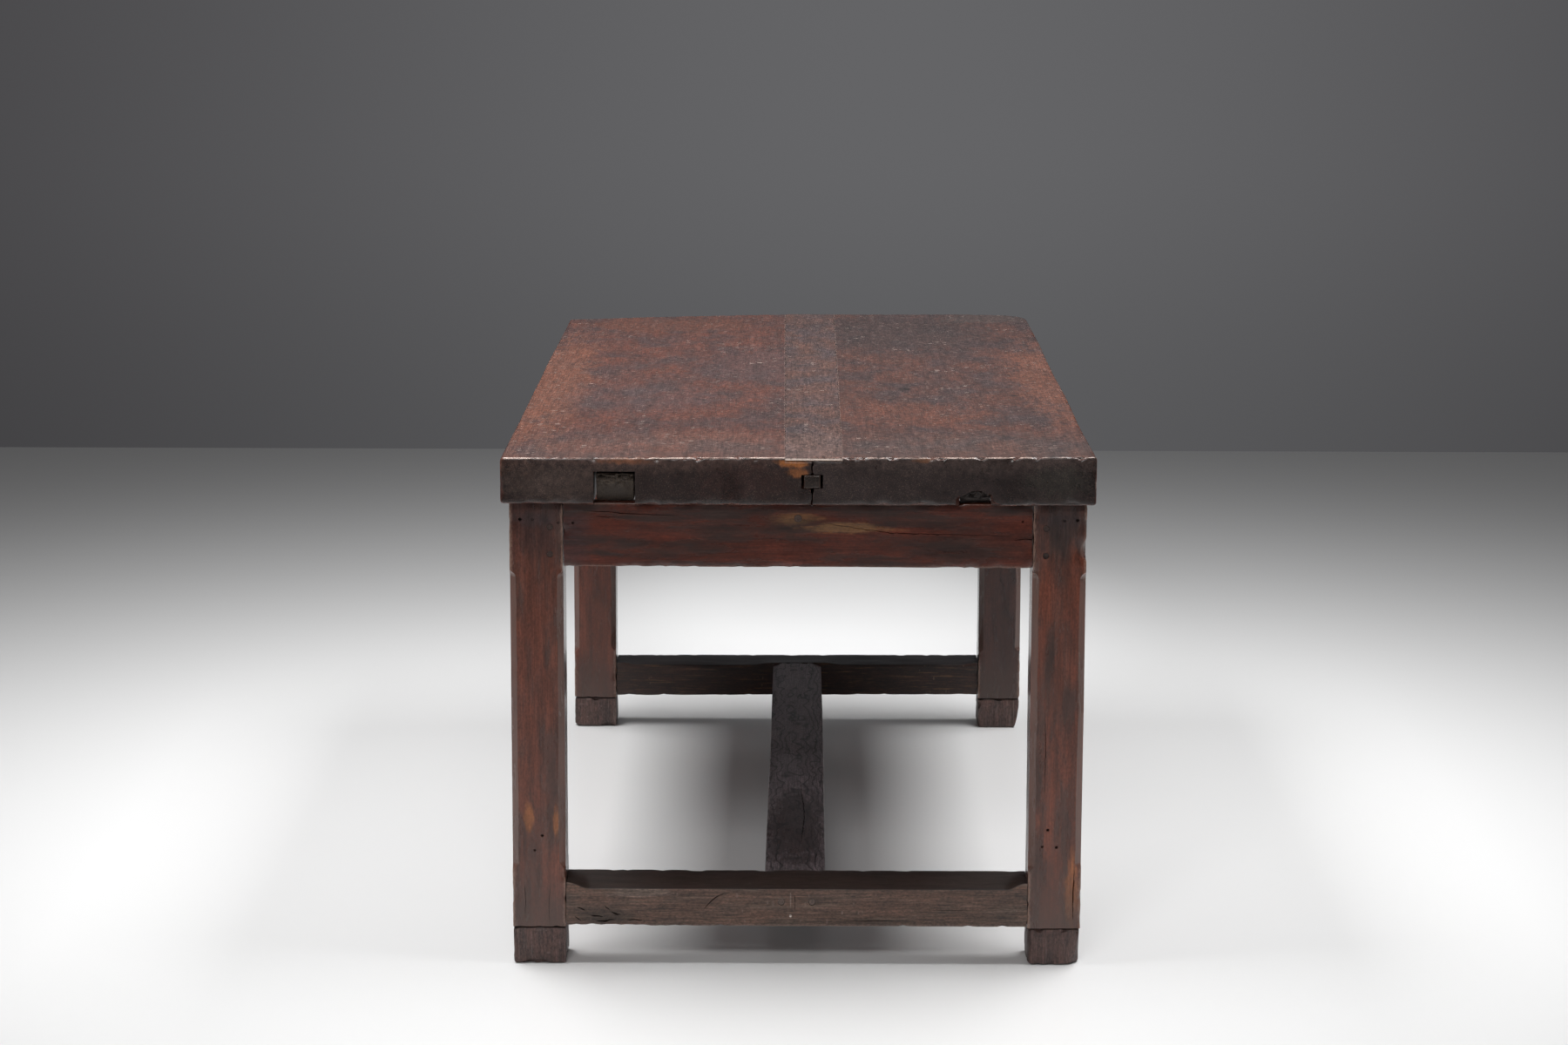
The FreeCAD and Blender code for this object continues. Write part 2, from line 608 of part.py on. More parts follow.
def make_long_stretcher():
    """The long bar, butted between the end stretchers and pegged through them."""
    body = new_body("long_stretcher", "0", "Worked.frame_mid")
    section = rectangle("-Worked.bar_half", "Worked.bar_half", "Worked.bar_low", "Worked.stretcher_high")
    add_pad(body, "Bar", "XZ", "-Worked.bar_run / 2", 1, "Worked.bar_run", section)
    centres = [(f"{side} * Sizes.bar_peg_spacing / 2", "Worked.bar_mid") for side in (LEFT, RIGHT)]
    for name, end in (("NearPegHoles", NEAR), ("FarPegHoles", FAR)):
        add_holes(body, name, "XZ", f"{end} * Worked.bar_run / 2", -end, "Sizes.bar_peg_grip",
                  centres, "Worked.bar_peg_hole")


# The turns that lay a pin, made upright, along an axis: the key is the axis and the way.
PIN_TURNS = {
    ("x", 1): Rotation(Vector(0, 1, 0), 90),
    ("x", -1): Rotation(Vector(0, 1, 0), -90),
    ("y", 1): Rotation(Vector(1, 0, 0), -90),
    ("y", -1): Rotation(Vector(1, 0, 0), 90),
    ("z", 1): Rotation(),
}


def make_pins(label, pins, sides=PEG_SIDES):
    """A group of pins; each is its axis, way, start, length and diameter. Without sides they are round."""
    links = []
    for count, (axis, way, start, length, diameter) in enumerate(pins, 1):
        if sides:
            pin = doc.addObject("Part::Prism", f"{label}_{count}")
            pin.Polygon = sides
            pin.setExpression("Circumradius", f"{diameter} / 2")
        else:
            pin = doc.addObject("Part::Cylinder", f"{label}_{count}")
            pin.setExpression("Radius", f"{diameter} / 2")
        pin.setExpression("Height", length)
        pin.Placement = FreeCAD.Placement(Vector(), PIN_TURNS[(axis, way)])
        for name, place in zip("xyz", start):
            pin.setExpression(f"Placement.Base.{name}", place)
        links.append(pin)
    group = doc.addObject("Part::Compound", label)
    group.Label = label
    group.Links = links


def make_apron_pegs():
    """Two pegs through each of the eight apron joints, from the outer faces of the legs."""
    pins = []
    for side in (LEFT, RIGHT):
        for end, end_y in ((NEAR, "Worked.frame_near"), (FAR, "Worked.frame_far")):
            for level in ("Worked.peg_low_z", "Worked.peg_high_z"):
                end_x = f"{side} * (Worked.inner_x + Sizes.peg_set)"
                pins.append(("y", -end, (end_x, end_y, level), "Sizes.peg_length", "Sizes.peg_diameter"))
                side_y = f"Worked.frame_mid + {end} * (Worked.apron_run / 2 + Sizes.peg_set)"
                side_x = f"{side} * Worked.frame_half"
                pins.append(("x", -side, (side_x, side_y, level), "Sizes.peg_length",
                             "Sizes.peg_diameter"))
    make_pins("apron_pegs", pins)


def make_stretcher_pegs():
    """Two long pegs through each end stretcher into the end of the long bar."""
    pins = []
    for end, end_y in ((NEAR, "Worked.frame_near"), (FAR, "Worked.frame_far")):
        for side in (LEFT, RIGHT):
            start = (f"{side} * Sizes.bar_peg_spacing / 2", end_y, "Worked.bar_mid")
            pins.append(("y", -end, start, "Sizes.stretcher_depth + Sizes.bar_peg_grip",
                         "Sizes.bar_peg_diameter"))
    make_pins("stretcher_pegs", pins)


def make_bearer_pegs():
    """One peg through each end apron into the end of the bearer."""
    pins = []
    for end, end_y in ((NEAR, "Worked.frame_near"), (FAR, "Worked.frame_far")):
        start = ("0", end_y, "Worked.bearer_mid")
        pins.append(("y", -end, start, "Sizes.apron_thickness + Sizes.bearer_peg_grip",
                     "Sizes.bearer_peg_diameter"))
    make_pins("bearer_pegs", pins)


def make_leg_dowels():
    """The hidden dowels: from each leg up into its plank, and from each foot up into its leg."""
    top_pins = []
    foot_pins = []
    for side in (LEFT, RIGHT):
        for y in ("Worked.frame_near + Worked.leg_half", "Worked.frame_far - Worked.leg_half"):
            start = (f"{side} * Worked.leg_x", y, "Worked.top_under - Sizes.leg_dowel_grip")
            top_pins.append(("z", 1, start, "2 * Sizes.leg_dowel_grip", "Sizes.leg_dowel_diameter"))
            start = (f"{side} * (Worked.leg_x + Sizes.foot_dowel_shift)", y,
                     "Sizes.foot_height - Sizes.foot_dowel_down")
            foot_pins.append(("z", 1, start, "Sizes.foot_dowel_down + Sizes.foot_dowel_up",
                              "Sizes.foot_dowel_diameter"))
    make_pins("top_dowels", top_pins, 0)
    make_pins("foot_dowels", foot_pins, 0)


make_plank("top_plank_left", LEFT)
make_plank("top_plank_right", RIGHT)
make_tongue()
make_strip()
make_stub(LEFT)
make_stub(RIGHT)
for end_name, end in (("front", NEAR), ("rear", FAR)):
    for side_name, side in (("left", LEFT), ("right", RIGHT)):
        make_leg(f"leg_{end_name}_{side_name}", side, end)
        make_foot(f"foot_{end_name}_{side_name}", side, end)
    make_end_apron(f"end_apron_{end_name}", end)
    make_end_stretcher(f"end_stretcher_{end_name}", end)
make_side_apron("side_apron_left", LEFT)
make_side_apron("side_apron_right", RIGHT)
make_bearer()
make_long_stretcher()
make_apron_pegs()
make_stretcher_pegs()
make_bearer_pegs()
make_leg_dowels()
doc.recompute()

# Nothing is written unless every object recomputed and every cut removed wood.
for thing in doc.Objects:
    if {"Invalid", "Error"} & set(thing.State):
        raise RuntimeError(f"{thing.Label} failed: {thing.State}")
    if thing.isDerivedFrom("PartDesign::Pocket") and thing.BaseFeature is not None:
        if thing.Shape.Volume > thing.BaseFeature.Shape.Volume - TINY:
            raise RuntimeError(f"{thing.Label} cuts nothing")

bodies = [thing for thing in doc.Objects if thing.TypeId == "PartDesign::Body"]
groups = [thing for thing in doc.Objects if thing.TypeId == "Part::Compound"]
os.makedirs("parts", exist_ok=True)
for piece in bodies + groups:
    if piece.Shape.isNull() or not piece.Shape.isValid():
        raise RuntimeError(f"{piece.Label} has no valid shape")
for piece in bodies + groups:
    piece.Shape.exportStep(f"parts/{piece.Label}.step")
print(f"{len(bodies + groups)} pieces written")
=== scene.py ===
import math

import bmesh
import bpy
import numpy as np
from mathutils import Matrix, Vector, noise


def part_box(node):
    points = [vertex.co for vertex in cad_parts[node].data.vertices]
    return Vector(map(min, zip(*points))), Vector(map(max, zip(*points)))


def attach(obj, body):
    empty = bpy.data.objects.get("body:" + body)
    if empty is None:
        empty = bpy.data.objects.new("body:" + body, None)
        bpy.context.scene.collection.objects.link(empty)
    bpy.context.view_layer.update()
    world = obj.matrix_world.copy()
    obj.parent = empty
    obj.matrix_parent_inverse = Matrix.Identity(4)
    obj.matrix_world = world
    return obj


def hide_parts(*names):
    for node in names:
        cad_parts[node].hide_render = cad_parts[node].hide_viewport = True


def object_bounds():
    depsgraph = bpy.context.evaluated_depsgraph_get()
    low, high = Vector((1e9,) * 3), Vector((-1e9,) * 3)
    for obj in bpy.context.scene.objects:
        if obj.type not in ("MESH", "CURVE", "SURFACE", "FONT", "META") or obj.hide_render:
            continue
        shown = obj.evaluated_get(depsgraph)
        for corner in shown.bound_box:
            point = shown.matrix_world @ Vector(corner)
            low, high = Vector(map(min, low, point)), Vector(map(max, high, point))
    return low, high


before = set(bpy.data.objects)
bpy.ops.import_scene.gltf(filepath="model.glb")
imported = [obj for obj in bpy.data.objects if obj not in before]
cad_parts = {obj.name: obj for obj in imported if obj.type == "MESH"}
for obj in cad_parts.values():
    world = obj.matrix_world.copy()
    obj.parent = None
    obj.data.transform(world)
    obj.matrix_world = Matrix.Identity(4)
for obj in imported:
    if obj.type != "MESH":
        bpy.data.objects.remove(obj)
cad_low, cad_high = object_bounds()

# An old farmhouse table in waxed oak. X runs across it, Y along it with the near end at minus Y, Z is up.
# Places are in metres. Marks, grain and wear are given in millimetres, and MM turns those into metres.
MM = 0.001
LEGS = [(end, side) for end in ("front", "rear") for side in ("left", "right")]


def waves(points, size, seed):
    """Smooth noise from 0 to 1 at each point; size is how far one wave reaches along x, y and z, in mm."""
    spread = points / (np.array(size, float) * MM) + seed * 17.31
    return np.array([0.5 + 0.75 * noise.noise(Vector(p)) for p in spread]).clip(0, 1)


def steps(value, low, high):
    """0 below low, 1 above high, and smooth between them."""
    share = ((value - low) / (high - low)).clip(0, 1)
    return share * share * (3 - 2 * share)


def outline(corners, rounds, parts, bend=4):
    """Points round a section. Corner i is rounded off over rounds[i], or sharp where that is 0,
    and the side that follows it has parts[i] steps. A rounding has bend steps."""
    corners = [np.array(corner, float) for corner in corners]
    count = len(corners)
    starts, ends = [], []
    for i, here in enumerate(corners):
        before, after = corners[i - 1] - here, corners[(i + 1) % count] - here
        starts.append(here + before / np.linalg.norm(before) * rounds[i])
        ends.append(here + after / np.linalg.norm(after) * rounds[i])
    points = []
    for i, here in enumerate(corners):
        if rounds[i]:
            for t in np.linspace(0, 1, bend + 1):
                points.append((1 - t) ** 2 * starts[i] + 2 * t * (1 - t) * here + t * t * ends[i])
        else:
            points.append(here)
        following = starts[(i + 1) % count]
        for t in np.linspace(0, 1, parts[i] + 1)[1:-1]:
            points.append(ends[i] * (1 - t) + following * t)
    return np.array(points)


def stations(length, step, rounding, extra=()):
    """Places along a timber, close together over the rounding at its two ends."""
    turn = [rounding * (1 - math.cos(a)) for a in np.linspace(0, math.pi / 2, 5)]
    middle = np.linspace(rounding, length - rounding, max(2, round((length - 2 * rounding) / step)))
    places = sorted(turn + list(middle) + [length - place for place in turn] + list(extra))
    return [p for i, p in enumerate(places) if i == 0 or p - places[i - 1] > 0.05 * MM]


def inset(place, length, rounding):
    """How far the section shrinks at a place along the timber, so that its ends are rounded."""
    left = rounding - min(place, length - place)
    return rounding - math.sqrt(rounding ** 2 - left ** 2) if left > 0 else 0.0


def weathered(points, low, high, chips=1.5, chip_size=(9, 9, 9), reach=4, sway=0.6,
              sway_size=(120, 120, 120), seed=0):
    """The points of a boxy timber pushed inwards: slow hollows sway mm deep over each face, and chips
    chips mm deep out of the arrises, fading out reach mm from them."""
    # how far each point lies inside the six faces, and the way inwards from each face
    gaps = np.concatenate([points - low, high - points], axis=1).clip(0)
    ways = np.concatenate([np.eye(3), -np.eye(3)])
    order = np.argsort(gaps, axis=1)
    rows = np.arange(len(points))
    second = gaps[rows, order[:, 1]]
    hollow = waves(points, sway_size, seed) * sway * MM
    moved = points + (np.exp(-gaps / (2.5 * MM)) * hollow[:, None]) @ ways
    chip = steps(waves(points, chip_size, seed + 3), 0.55, 0.95) * chips * MM
    chip *= np.exp(-(second / (reach * MM)) ** 2)
    return moved + (ways[order[:, 0]] + ways[order[:, 1]]) * chip[:, None]


def lofted(name, shells):
    """One mesh of closed shells, each given as rings of equally many points."""
    points, faces, base = [], [], 0
    for rings in shells:
        rings = np.asarray(rings, float)
        count, size = rings.shape[:2]
        for i in range(count - 1):
            for j in range(size):
                k = (j + 1) % size
                row, after = base + i * size, base + (i + 1) * size
                faces.append((row + j, row + k, after + k, after + j))
        faces.append(tuple(range(base + size - 1, base - 1, -1)))
        faces.append(tuple(range(base + (count - 1) * size, base + count * size)))
        points.append(rings.reshape(-1, 3))
        base += count * size
    mesh = bpy.data.meshes.new(name)
    mesh.from_pydata(np.concatenate(points).tolist(), [], faces)
    work = bmesh.new()
    work.from_mesh(mesh)
    bmesh.ops.remove_doubles(work, verts=work.verts, dist=0.01 * MM)
    bmesh.ops.recalc_face_normals(work, faces=work.faces)
    work.to_mesh(mesh)
    work.free()
    piece = bpy.data.objects.new(name, mesh)
    bpy.context.scene.collection.objects.link(piece)
    return piece


def settled(piece):
    """The piece with its modifiers worked into a plain mesh."""
    evaluated = piece.evaluated_get(bpy.context.evaluated_depsgraph_get())
    mesh = bpy.data.meshes.new_from_object(evaluated)
    mesh.name = piece.name
    piece.modifiers.clear()
    piece.data = mesh
    return piece


def cut_out(piece, shells):
    """Cuts the closed shells out of the piece."""
    cutter = lofted(piece.name + "_cutter", shells)
    modifier = piece.modifiers.new("cut", "BOOLEAN")
    modifier.operation = "DIFFERENCE"
    modifier.solver = "EXACT"
    modifier.object = cutter
    settled(piece)
    bpy.data.objects.remove(cutter)
    return piece


def bore(place, way, wide, deep, sides=8, narrow=1.0):
    """The shell of a hole, wide and deep in mm, from a place on a face, way pointing into the wood.
    Its floor is narrow times as wide as its mouth, and it starts 2 mm outside the face."""
    way = Vector(way)
    across = way.orthogonal().normalized()
    up = way.cross(across)
    rings = []
    for depth, share in ((-2, 1.0), (0, 1.0), (deep, narrow)):
        centre = Vector(place) + way * depth * MM
        ring = []
        for k in range(sides):
            turn = 2 * math.pi * k / sides
            ring.append(centre + (across * math.cos(turn) + up * math.sin(turn)) * wide / 2 * share * MM)
        rings.append(ring)
    return rings


def crack(path, way, wide, deep, seed=0):
    """The shell of a split along a path of points on a face, way pointing into the wood. It narrows to its
    two ends, strays from the path a little, and closes to a sharp bottom."""
    way = Vector(way)
    path = [Vector(p) for p in path]
    fine = []
    for a, b in zip(path, path[1:]):
        count = max(2, int((b - a).length / (4 * MM)))
        fine += [a.lerp(b, k / count) for k in range(count)]
    fine.append(path[-1])
    rings = []
    for i, place in enumerate(fine):
        ahead = fine[min(i + 1, len(fine) - 1)] - fine[max(i - 1, 0)]
        side = way.cross(ahead).normalized()
        share = math.sin(math.pi * (0.04 + 0.92 * i / (len(fine) - 1))) ** 0.6
        stray = noise.noise(place / (7 * MM) + Vector((seed, 0, 0)))
        width = wide * share * (1 + 0.7 * stray) / 2 * MM
        middle = place + side * stray * wide * 0.9 * MM
        lip = way * 1.5 * MM
        rings.append([middle - side * width * 1.3 - lip, middle + side * width * 1.3 - lip,
                      middle + way * deep * share * MM])
    return rings


def finished(piece, name, material, low, high, reach=3.0, strong=1.0, rubbed=None):
    """Writes the wear over the arrises of the box from low to high into the mesh, with what rubbed adds,
    and puts the piece in place of the node of this name."""
    mesh = piece.data
    points = np.zeros(len(mesh.vertices) * 3)
    mesh.vertices.foreach_get("co", points)
    points = points.reshape(-1, 3)
    gaps = np.sort(np.concatenate([points - low, high - points], axis=1).clip(0), axis=1)
    worn = strong * np.exp(-(gaps[:, 1] / (reach * MM)) ** 1.5)
    if rubbed is not None:
        worn = np.maximum(worn, rubbed(points))
    mesh.attributes.new("worn", "FLOAT", "POINT").data.foreach_set("value", worn.astype(np.float32))
    mesh.polygons.foreach_set("use_smooth", [True] * len(mesh.polygons))
    mesh.set_sharp_from_angle(angle=math.radians(38))
    mesh.materials.clear()
    mesh.materials.append(material)
    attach(piece, "root")
    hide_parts(name)


def timber(name, low, high, axis, arris, step, rounding=2.0, shape=None, cap=(0.93, 0.8), **wear):
    """A hewn timber between two corners with its grain along axis, 0 for X, 1 for Y or 2 for Z. Its long
    arrises are rounded off over arris mm and its ends over rounding mm. Its mesh has a step in mm, shape
    bends the points, and cap holds the sizes of the rings that close its two ends."""
    low, high = np.array(low, float), np.array(high, float)
    b, c = [k for k in range(3) if k != axis]
    length = high[axis] - low[axis]
    rounding *= MM
    parts = [max(2, round((high[k] - low[k]) / (step * MM))) for k in (b, c)]
    rings = []
    for place in stations(length, step * 1.6 * MM, rounding):
        shrink = inset(place, length, rounding)
        corners = [(low[b] + shrink, low[c] + shrink), (high[b] - shrink, low[c] + shrink),
                   (high[b] - shrink, high[c] - shrink), (low[b] + shrink, high[c] - shrink)]
        section = outline(corners, [arris * MM] * 4, parts * 2)
        ring = np.zeros((len(section), 3))
        ring[:, axis] = low[axis] + place
        ring[:, b], ring[:, c] = section[:, 0], section[:, 1]
        rings.append(ring)
    near, far = rings[0], rings[-1]
    for share in cap:
        rings.insert(0, near.mean(axis=0) * (1 - share) + near * share)
        rings.append(far.mean(axis=0) * (1 - share) + far * share)
    rings = np.array(rings)
    shaped = rings.reshape(-1, 3)
    if shape is not None:
        shaped = shape(shaped)
    shaped = weathered(shaped, low, high, **wear)
    return lofted(name, [shaped.reshape(rings.shape)])


# the finishes

def linear(text):
    """A colour written as sRGB hex, as the linear light that a shader takes."""
    channels = [int(text[i:i + 2], 16) / 255 for i in (1, 3, 5)]
    return [c / 12.92 if c <= 0.04045 else ((c + 0.055) / 1.055) ** 2.4 for c in channels] + [1.0]


def add(tree, kind, settings=None):
    """Adds a node. A setting is one of the node's own, or an input by its number or name, given a value,
    a socket, or a node whose first output is meant."""
    node = tree.nodes.new(kind)
    for key, value in (settings or {}).items():
        if isinstance(key, str) and hasattr(node, key):
            setattr(node, key, value)
            continue
        socket = node.inputs[key] if isinstance(key, int) else next(
            s for s in node.inputs if s.name == key and s.enabled)
        if isinstance(value, bpy.types.Node):
            value = next(s for s in value.outputs if s.enabled)
        if isinstance(value, bpy.types.NodeSocket):
            tree.links.new(value, socket)
        else:
            socket.default_value = value
    return node


# Old oak, stained dark and waxed for two centuries. Its tones are its own colour, its greyer or redder
# patches, the dark line of open pores in each year ring, the bare wood on worn arrises, and its end grain.
top_tones = {-1: ("#5b3328", "#412f2e", "#301c16", "#c9b3a8", "#1c0f0d"),
             1: ("#503027", "#3a2c2c", "#2c1c17", "#c9b3a8", "#241a19")}
strip_tones = ("#553a32", "#403638", "#30221f", "#d2bdb1", "#2a1e1b")
tongue_tones = ("#3c2b24", "#33251f", "#1f1613", "#5a4438", "#1f1713")
stub_tones = {"left": ("#4f4339", "#3b312a", "#221c1a", "#6b5c4d", "#3c332c"),
              "right": ("#2b2320", "#221c1a", "#171311", "#463a33", "#241e1b")}
leg_tones = {("front", "left"): ("#633628", "#49332d", "#2b1813", "#8a6f62", "#3a2823"),
             ("front", "right"): ("#683829", "#48332d", "#2b1813", "#8a6f62", "#3a2823"),
             ("rear", "left"): ("#643020", "#4b2d24", "#2c1812", "#8a6f62", "#3a2823"),
             ("rear", "right"): ("#44261f", "#352523", "#251614", "#8a6f62", "#3a2823")}
foot_tones = ("#553d37", "#433533", "#251917", "#7f6c67", "#332824")
apron_tones = ("#542519", "#32201b", "#1b100d", "#7a5d4f", "#2c1d18")
under_tones = ("#3d2b24", "#33261f", "#211814", "#57453a", "#2a1e19")
stretcher_tones = {"front": ("#5b4236", "#4b3b33", "#251b18", "#8d7a70", "#2f2420"),
                   "rear": ("#30160c", "#20100b", "#140c09", "#6b5646", "#2a1f1b")}
# the colour of dry wood in the end stretchers, and how strongly it shows
dry_streaks = {"front": ("#8a7666", 0.35), "rear": ("#7d5836", 0.6)}
# the bar's grey is painted paler than its wood, a painted sheen of the bright floor under the table
bar_tones_with_painted_sheen = ("#716468", "#786e70", "#141213", "#6d6566", "#2a2220")
peg_tones = {"apron_pegs": ("#4a332b", "#3c2b26", "#241916", "#6e574c", "#32231e"),
             "stretcher_pegs": ("#5b473e", "#4e3e37", "#2a201d", "#77675d", "#54433b"),
             "bearer_pegs": ("#4a352b", "#3c2d26", "#241916", "#6e574c", "#3c2c25"),
             "dowels": ("#4a332b", "#3c2b26", "#241916", "#6e574c", "#32231e")}

# how a piece turns to bring its grain along Z
TURNS = {"X": (0, -math.pi / 2, 0), "Y": (math.pi / 2, 0, 0), "Z": (0, 0, 0)}


def old_oak(name, grain, pith, tones, ring, rings=0.25, rays=0.0, mottle=0.8, patch_size=(70, 150),
            smear=0.2, streaks=0.5, checks=0.0, grit_size=(2.4, 5), contrast=0.5, bend=(70, 320, 22),
            line=0.55, dry=None, seed=0, stains_and_painted_light=(), specks=0.0, worn=0.5, rough=0.3, relief=0.25,
            painted_bevel_sheen=None, flare=None, trodden=None):
    """Oak with its grain along X, Y or Z, and the middle of its tree at pith, in mm, outside or inside the
    piece. Its waxed surface has year rings ring mm wide, long fibres and open pores, and flecks of ray
    across the grain. Most other settings say how strong or large a mark is, and 0 or None leaves it out."""
    material = bpy.data.materials.new(name)
    material.use_nodes = True
    tree = material.node_tree
    tree.nodes.clear()
    place = add(tree, "ShaderNodeTexCoord").outputs["Object"]
    normal = add(tree, "ShaderNodeNewGeometry").outputs["Normal"]
    # the piece in mm, turned so that its grain runs along Z with the tree's middle at the origin
    turned = add(tree, "ShaderNodeMapping", {
        "Vector": place, "Rotation": TURNS[grain], "Scale": (1000, 1000, 1000)})

    # clouds of noise: their size in mm, twice across the grain and once along it, then where they lie, and
    # then their detail, roughness and waviness
    patch, grit = ((size[0], size[0], size[1]) for size in (patch_size, grit_size))
    clouds = {
        "patches": (patch, (0, seed * 5.3, seed * 0.7), (6.0, 0.62, 0.3)),
        "grit": (grit, (seed, seed, seed), (4.0, 0.7, 0.0)),
        # fibres are a tenth of a millimetre wide, and drawn near 1 mm so that they show
        "fibres": ((1.6, 1.6, 46), (seed, 0, seed), (4.0, 0.62, 0.0)),
        "soaked": ((13, 13, 100), (seed * 1.9, 0, seed), (4.0, 0.6, 0.0)),
        "dots": ((1.5, 1.5, 3), (seed, 2, seed), (3.0, 0.7, 0.0)),
        # open pores are 0.3 mm wide and 5 mm long, and drawn at 1.5 mm so that they show
        "pores": ((1.5, 1.5, 9), (0, seed * 2.1, seed), (1.0, 0.6, 0.0))}
    if stains_and_painted_light:
        clouds["rim"] = ((11, 11, 34), (seed, 3.1, seed * 0.3), (5.0, 0.7, 0.0))
    if rings:
        clouds["bends"] = ((bend[0], bend[0], bend[1]), (seed * 3.7, seed * 1.3, 0), (2.0, 0.5, 0.0))
    if checks:
        # drying has opened short fine cracks along the grain, some 0.3 mm wide and drawn at 1 mm
        clouds["checks"] = ((2.2, 2.2, 60), (seed, 0, seed * 0.7), (2.0, 0.6, 0.0))
    if dry:
        clouds["dry"] = ((4.0, 4.0, 75), (seed * 0.3, seed, 1), (6.0, 0.75, 0.0))
    if rays:
        # rays cut on the quarter lie across the grain, about 12 mm long and 2 mm wide
        clouds["rays"] = ((13, 20, 2.4), (seed, seed, 0), (4.0, 0.7, 0.0))
    if specks:
        clouds["clusters"] = ((70, 70, 70), (seed * 9, 0, seed), (2.0, 0.6, 0.0))
    for cloud, (size, shift, (detail, roughness, waviness)) in clouds.items():
        spot = add(tree, "ShaderNodeVectorMath", {
            "operation": "MULTIPLY_ADD", 0: turned, 1: tuple(1 / length for length in size), 2: shift})
        clouds[cloud] = add(tree, "ShaderNodeTexNoise", {
            "Vector": spot, "Scale": 1.0, "Detail": detail, "Roughness": roughness, "Distortion": waviness})

    # what a cloud comes to between two of its levels, which lie round its mean of 0.5: eased or straight,
    # and from one amount to another
    shows = {
        "redder": ("SMOOTHSTEP", "patches", 0.36, 0.66, 0.0, mottle),
        "end_patches": ("LINEAR", "patches", 0.35, 0.65, 0.75, 1.25),
        "dot_patches": ("LINEAR", "patches", 0.35, 0.6, 0.35, 1.0),
        "gloss": ("LINEAR", "patches", 0.3, 0.7, rough - 0.06, rough + 0.08),
        "side_grit": ("LINEAR", "grit", 0.3, 0.7, 1 - contrast, 1 + contrast),
        "end_grit": ("LINEAR", "grit", 0.35, 0.65, 0.55, 1.45),
        "fibres": ("LINEAR", "fibres", 0.3, 0.7, 1 - streaks, 1 + streaks),
        "soaked": ("LINEAR", "soaked", 0.3, 0.7, 1 - smear, 1 + smear),
        "dots": ("SMOOTHSTEP", "dots", 0.52, 0.70, 0.0, 0.4),
        "pores": ("SMOOTHSTEP", "pores", 0.56, 0.74, 0.0, 0.7 * streaks)}
    if checks:
        shows["checks"] = ("SMOOTHSTEP", "checks", 0.63, 0.70, 0.0, checks)
        shows["check_patches"] = ("LINEAR", "patches", 0.4, 0.55, 0.0, 1.0)
    if dry:
        shows["dry"] = ("SMOOTHSTEP", "dry", 0.53, 0.68, 0.0, dry[1])
    if rays:
        shows["rays"] = ("SMOOTHSTEP", "rays", 0.55, 0.70, 0.0, rays)
    if specks:
        shows["clusters"] = ("LINEAR", "clusters", 0.44, 0.68, 0.05, 0.7)
    for mark, (easing, cloud, low, high, least, most) in shows.items():
        shows[mark] = add(tree, "ShaderNodeMapRange", {
            "interpolation_type": easing, "Value": clouds[cloud], "From Min": low, "From Max": high,
            "To Min": least, "To Max": most})

    # end grain shows where the surface looks along the fibres
    along = {"X": (1, 0, 0), "Y": (0, 1, 0), "Z": (0, 0, 1)}[grain]
    facing = add(tree, "ShaderNodeVectorMath", {"operation": "DOT_PRODUCT", 0: normal, 1: along})
    facing = add(tree, "ShaderNodeMath", {"operation": "ABSOLUTE", 0: facing.outputs["Value"]})
    cut_end = add(tree, "ShaderNodeMapRange", {
        "interpolation_type": "SMOOTHSTEP", "Value": facing, "From Min": 0.72, "From Max": 0.95})
    face_grain = add(tree, "ShaderNodeMath", {"operation": "SUBTRACT", 0: 1.0, 1: cut_end})

    # stain and wax have sunk in unevenly, in patches; each mark has a ragged rim. Besides stains, the marks
    # hold patches of painted sheen on the top and of painted shade on the legs
    sunk = [(shows["redder"], tones[1]), (cut_end, tones[4])]
    if stains_and_painted_light:
        rim = add(tree, "ShaderNodeMath", {
            "operation": "MULTIPLY_ADD", 0: clouds["rim"], 1: 1.5, 2: clouds["patches"]})
    for (sx, sy, sz), reach, shade, amount in stains_and_painted_light:
        gone = add(tree, "ShaderNodeVectorMath", {
            "operation": "SUBTRACT", 0: place, 1: (sx * MM, sy * MM, sz * MM)})
        spread = add(tree, "ShaderNodeVectorMath", {
            "operation": "MULTIPLY", 0: gone, 1: tuple(1 / (r * MM) for r in reach)})
        far = add(tree, "ShaderNodeVectorMath", {"operation": "LENGTH", 0: spread}).outputs["Value"]
        ragged = add(tree, "ShaderNodeMath", {"operation": "ADD", 0: rim, 1: far})
        sunk.append((add(tree, "ShaderNodeMapRange", {
            "interpolation_type": "SMOOTHSTEP", "Value": ragged, "From Min": 2.3, "From Max": 1.7,
            "To Max": amount}), shade))
    colour = linear(tones[0])
    # a Mix node takes its two colours at sockets 6 and 7 and gives their mix at 2
    for share, shade in sunk:
        colour = add(tree, "ShaderNodeMix", {
            "data_type": "RGBA", 0: share, 6: colour, 7: linear(shade)}).outputs[2]

    # fibres and grit make it lighter and darker by turns, along its faces and on its sawn ends
    threads = add(tree, "ShaderNodeMath", {"operation": "MULTIPLY", 0: shows["fibres"], 1: shows["soaked"]})
    side_wood = add(tree, "ShaderNodeMath", {"operation": "MULTIPLY", 0: shows["side_grit"], 1: threads})
    end_wood = add(tree, "ShaderNodeMath", {
        "operation": "MULTIPLY", 0: shows["end_grit"], 1: shows["end_patches"]})
    texture = add(tree, "ShaderNodeMix", {"data_type": "FLOAT", 0: cut_end, 2: side_wood, 3: end_wood})
    colour = add(tree, "ShaderNodeMix", {
        "data_type": "RGBA", "blend_type": "MULTIPLY", 0: 1.0, 6: colour, 7: texture.outputs[0]}).outputs[2]

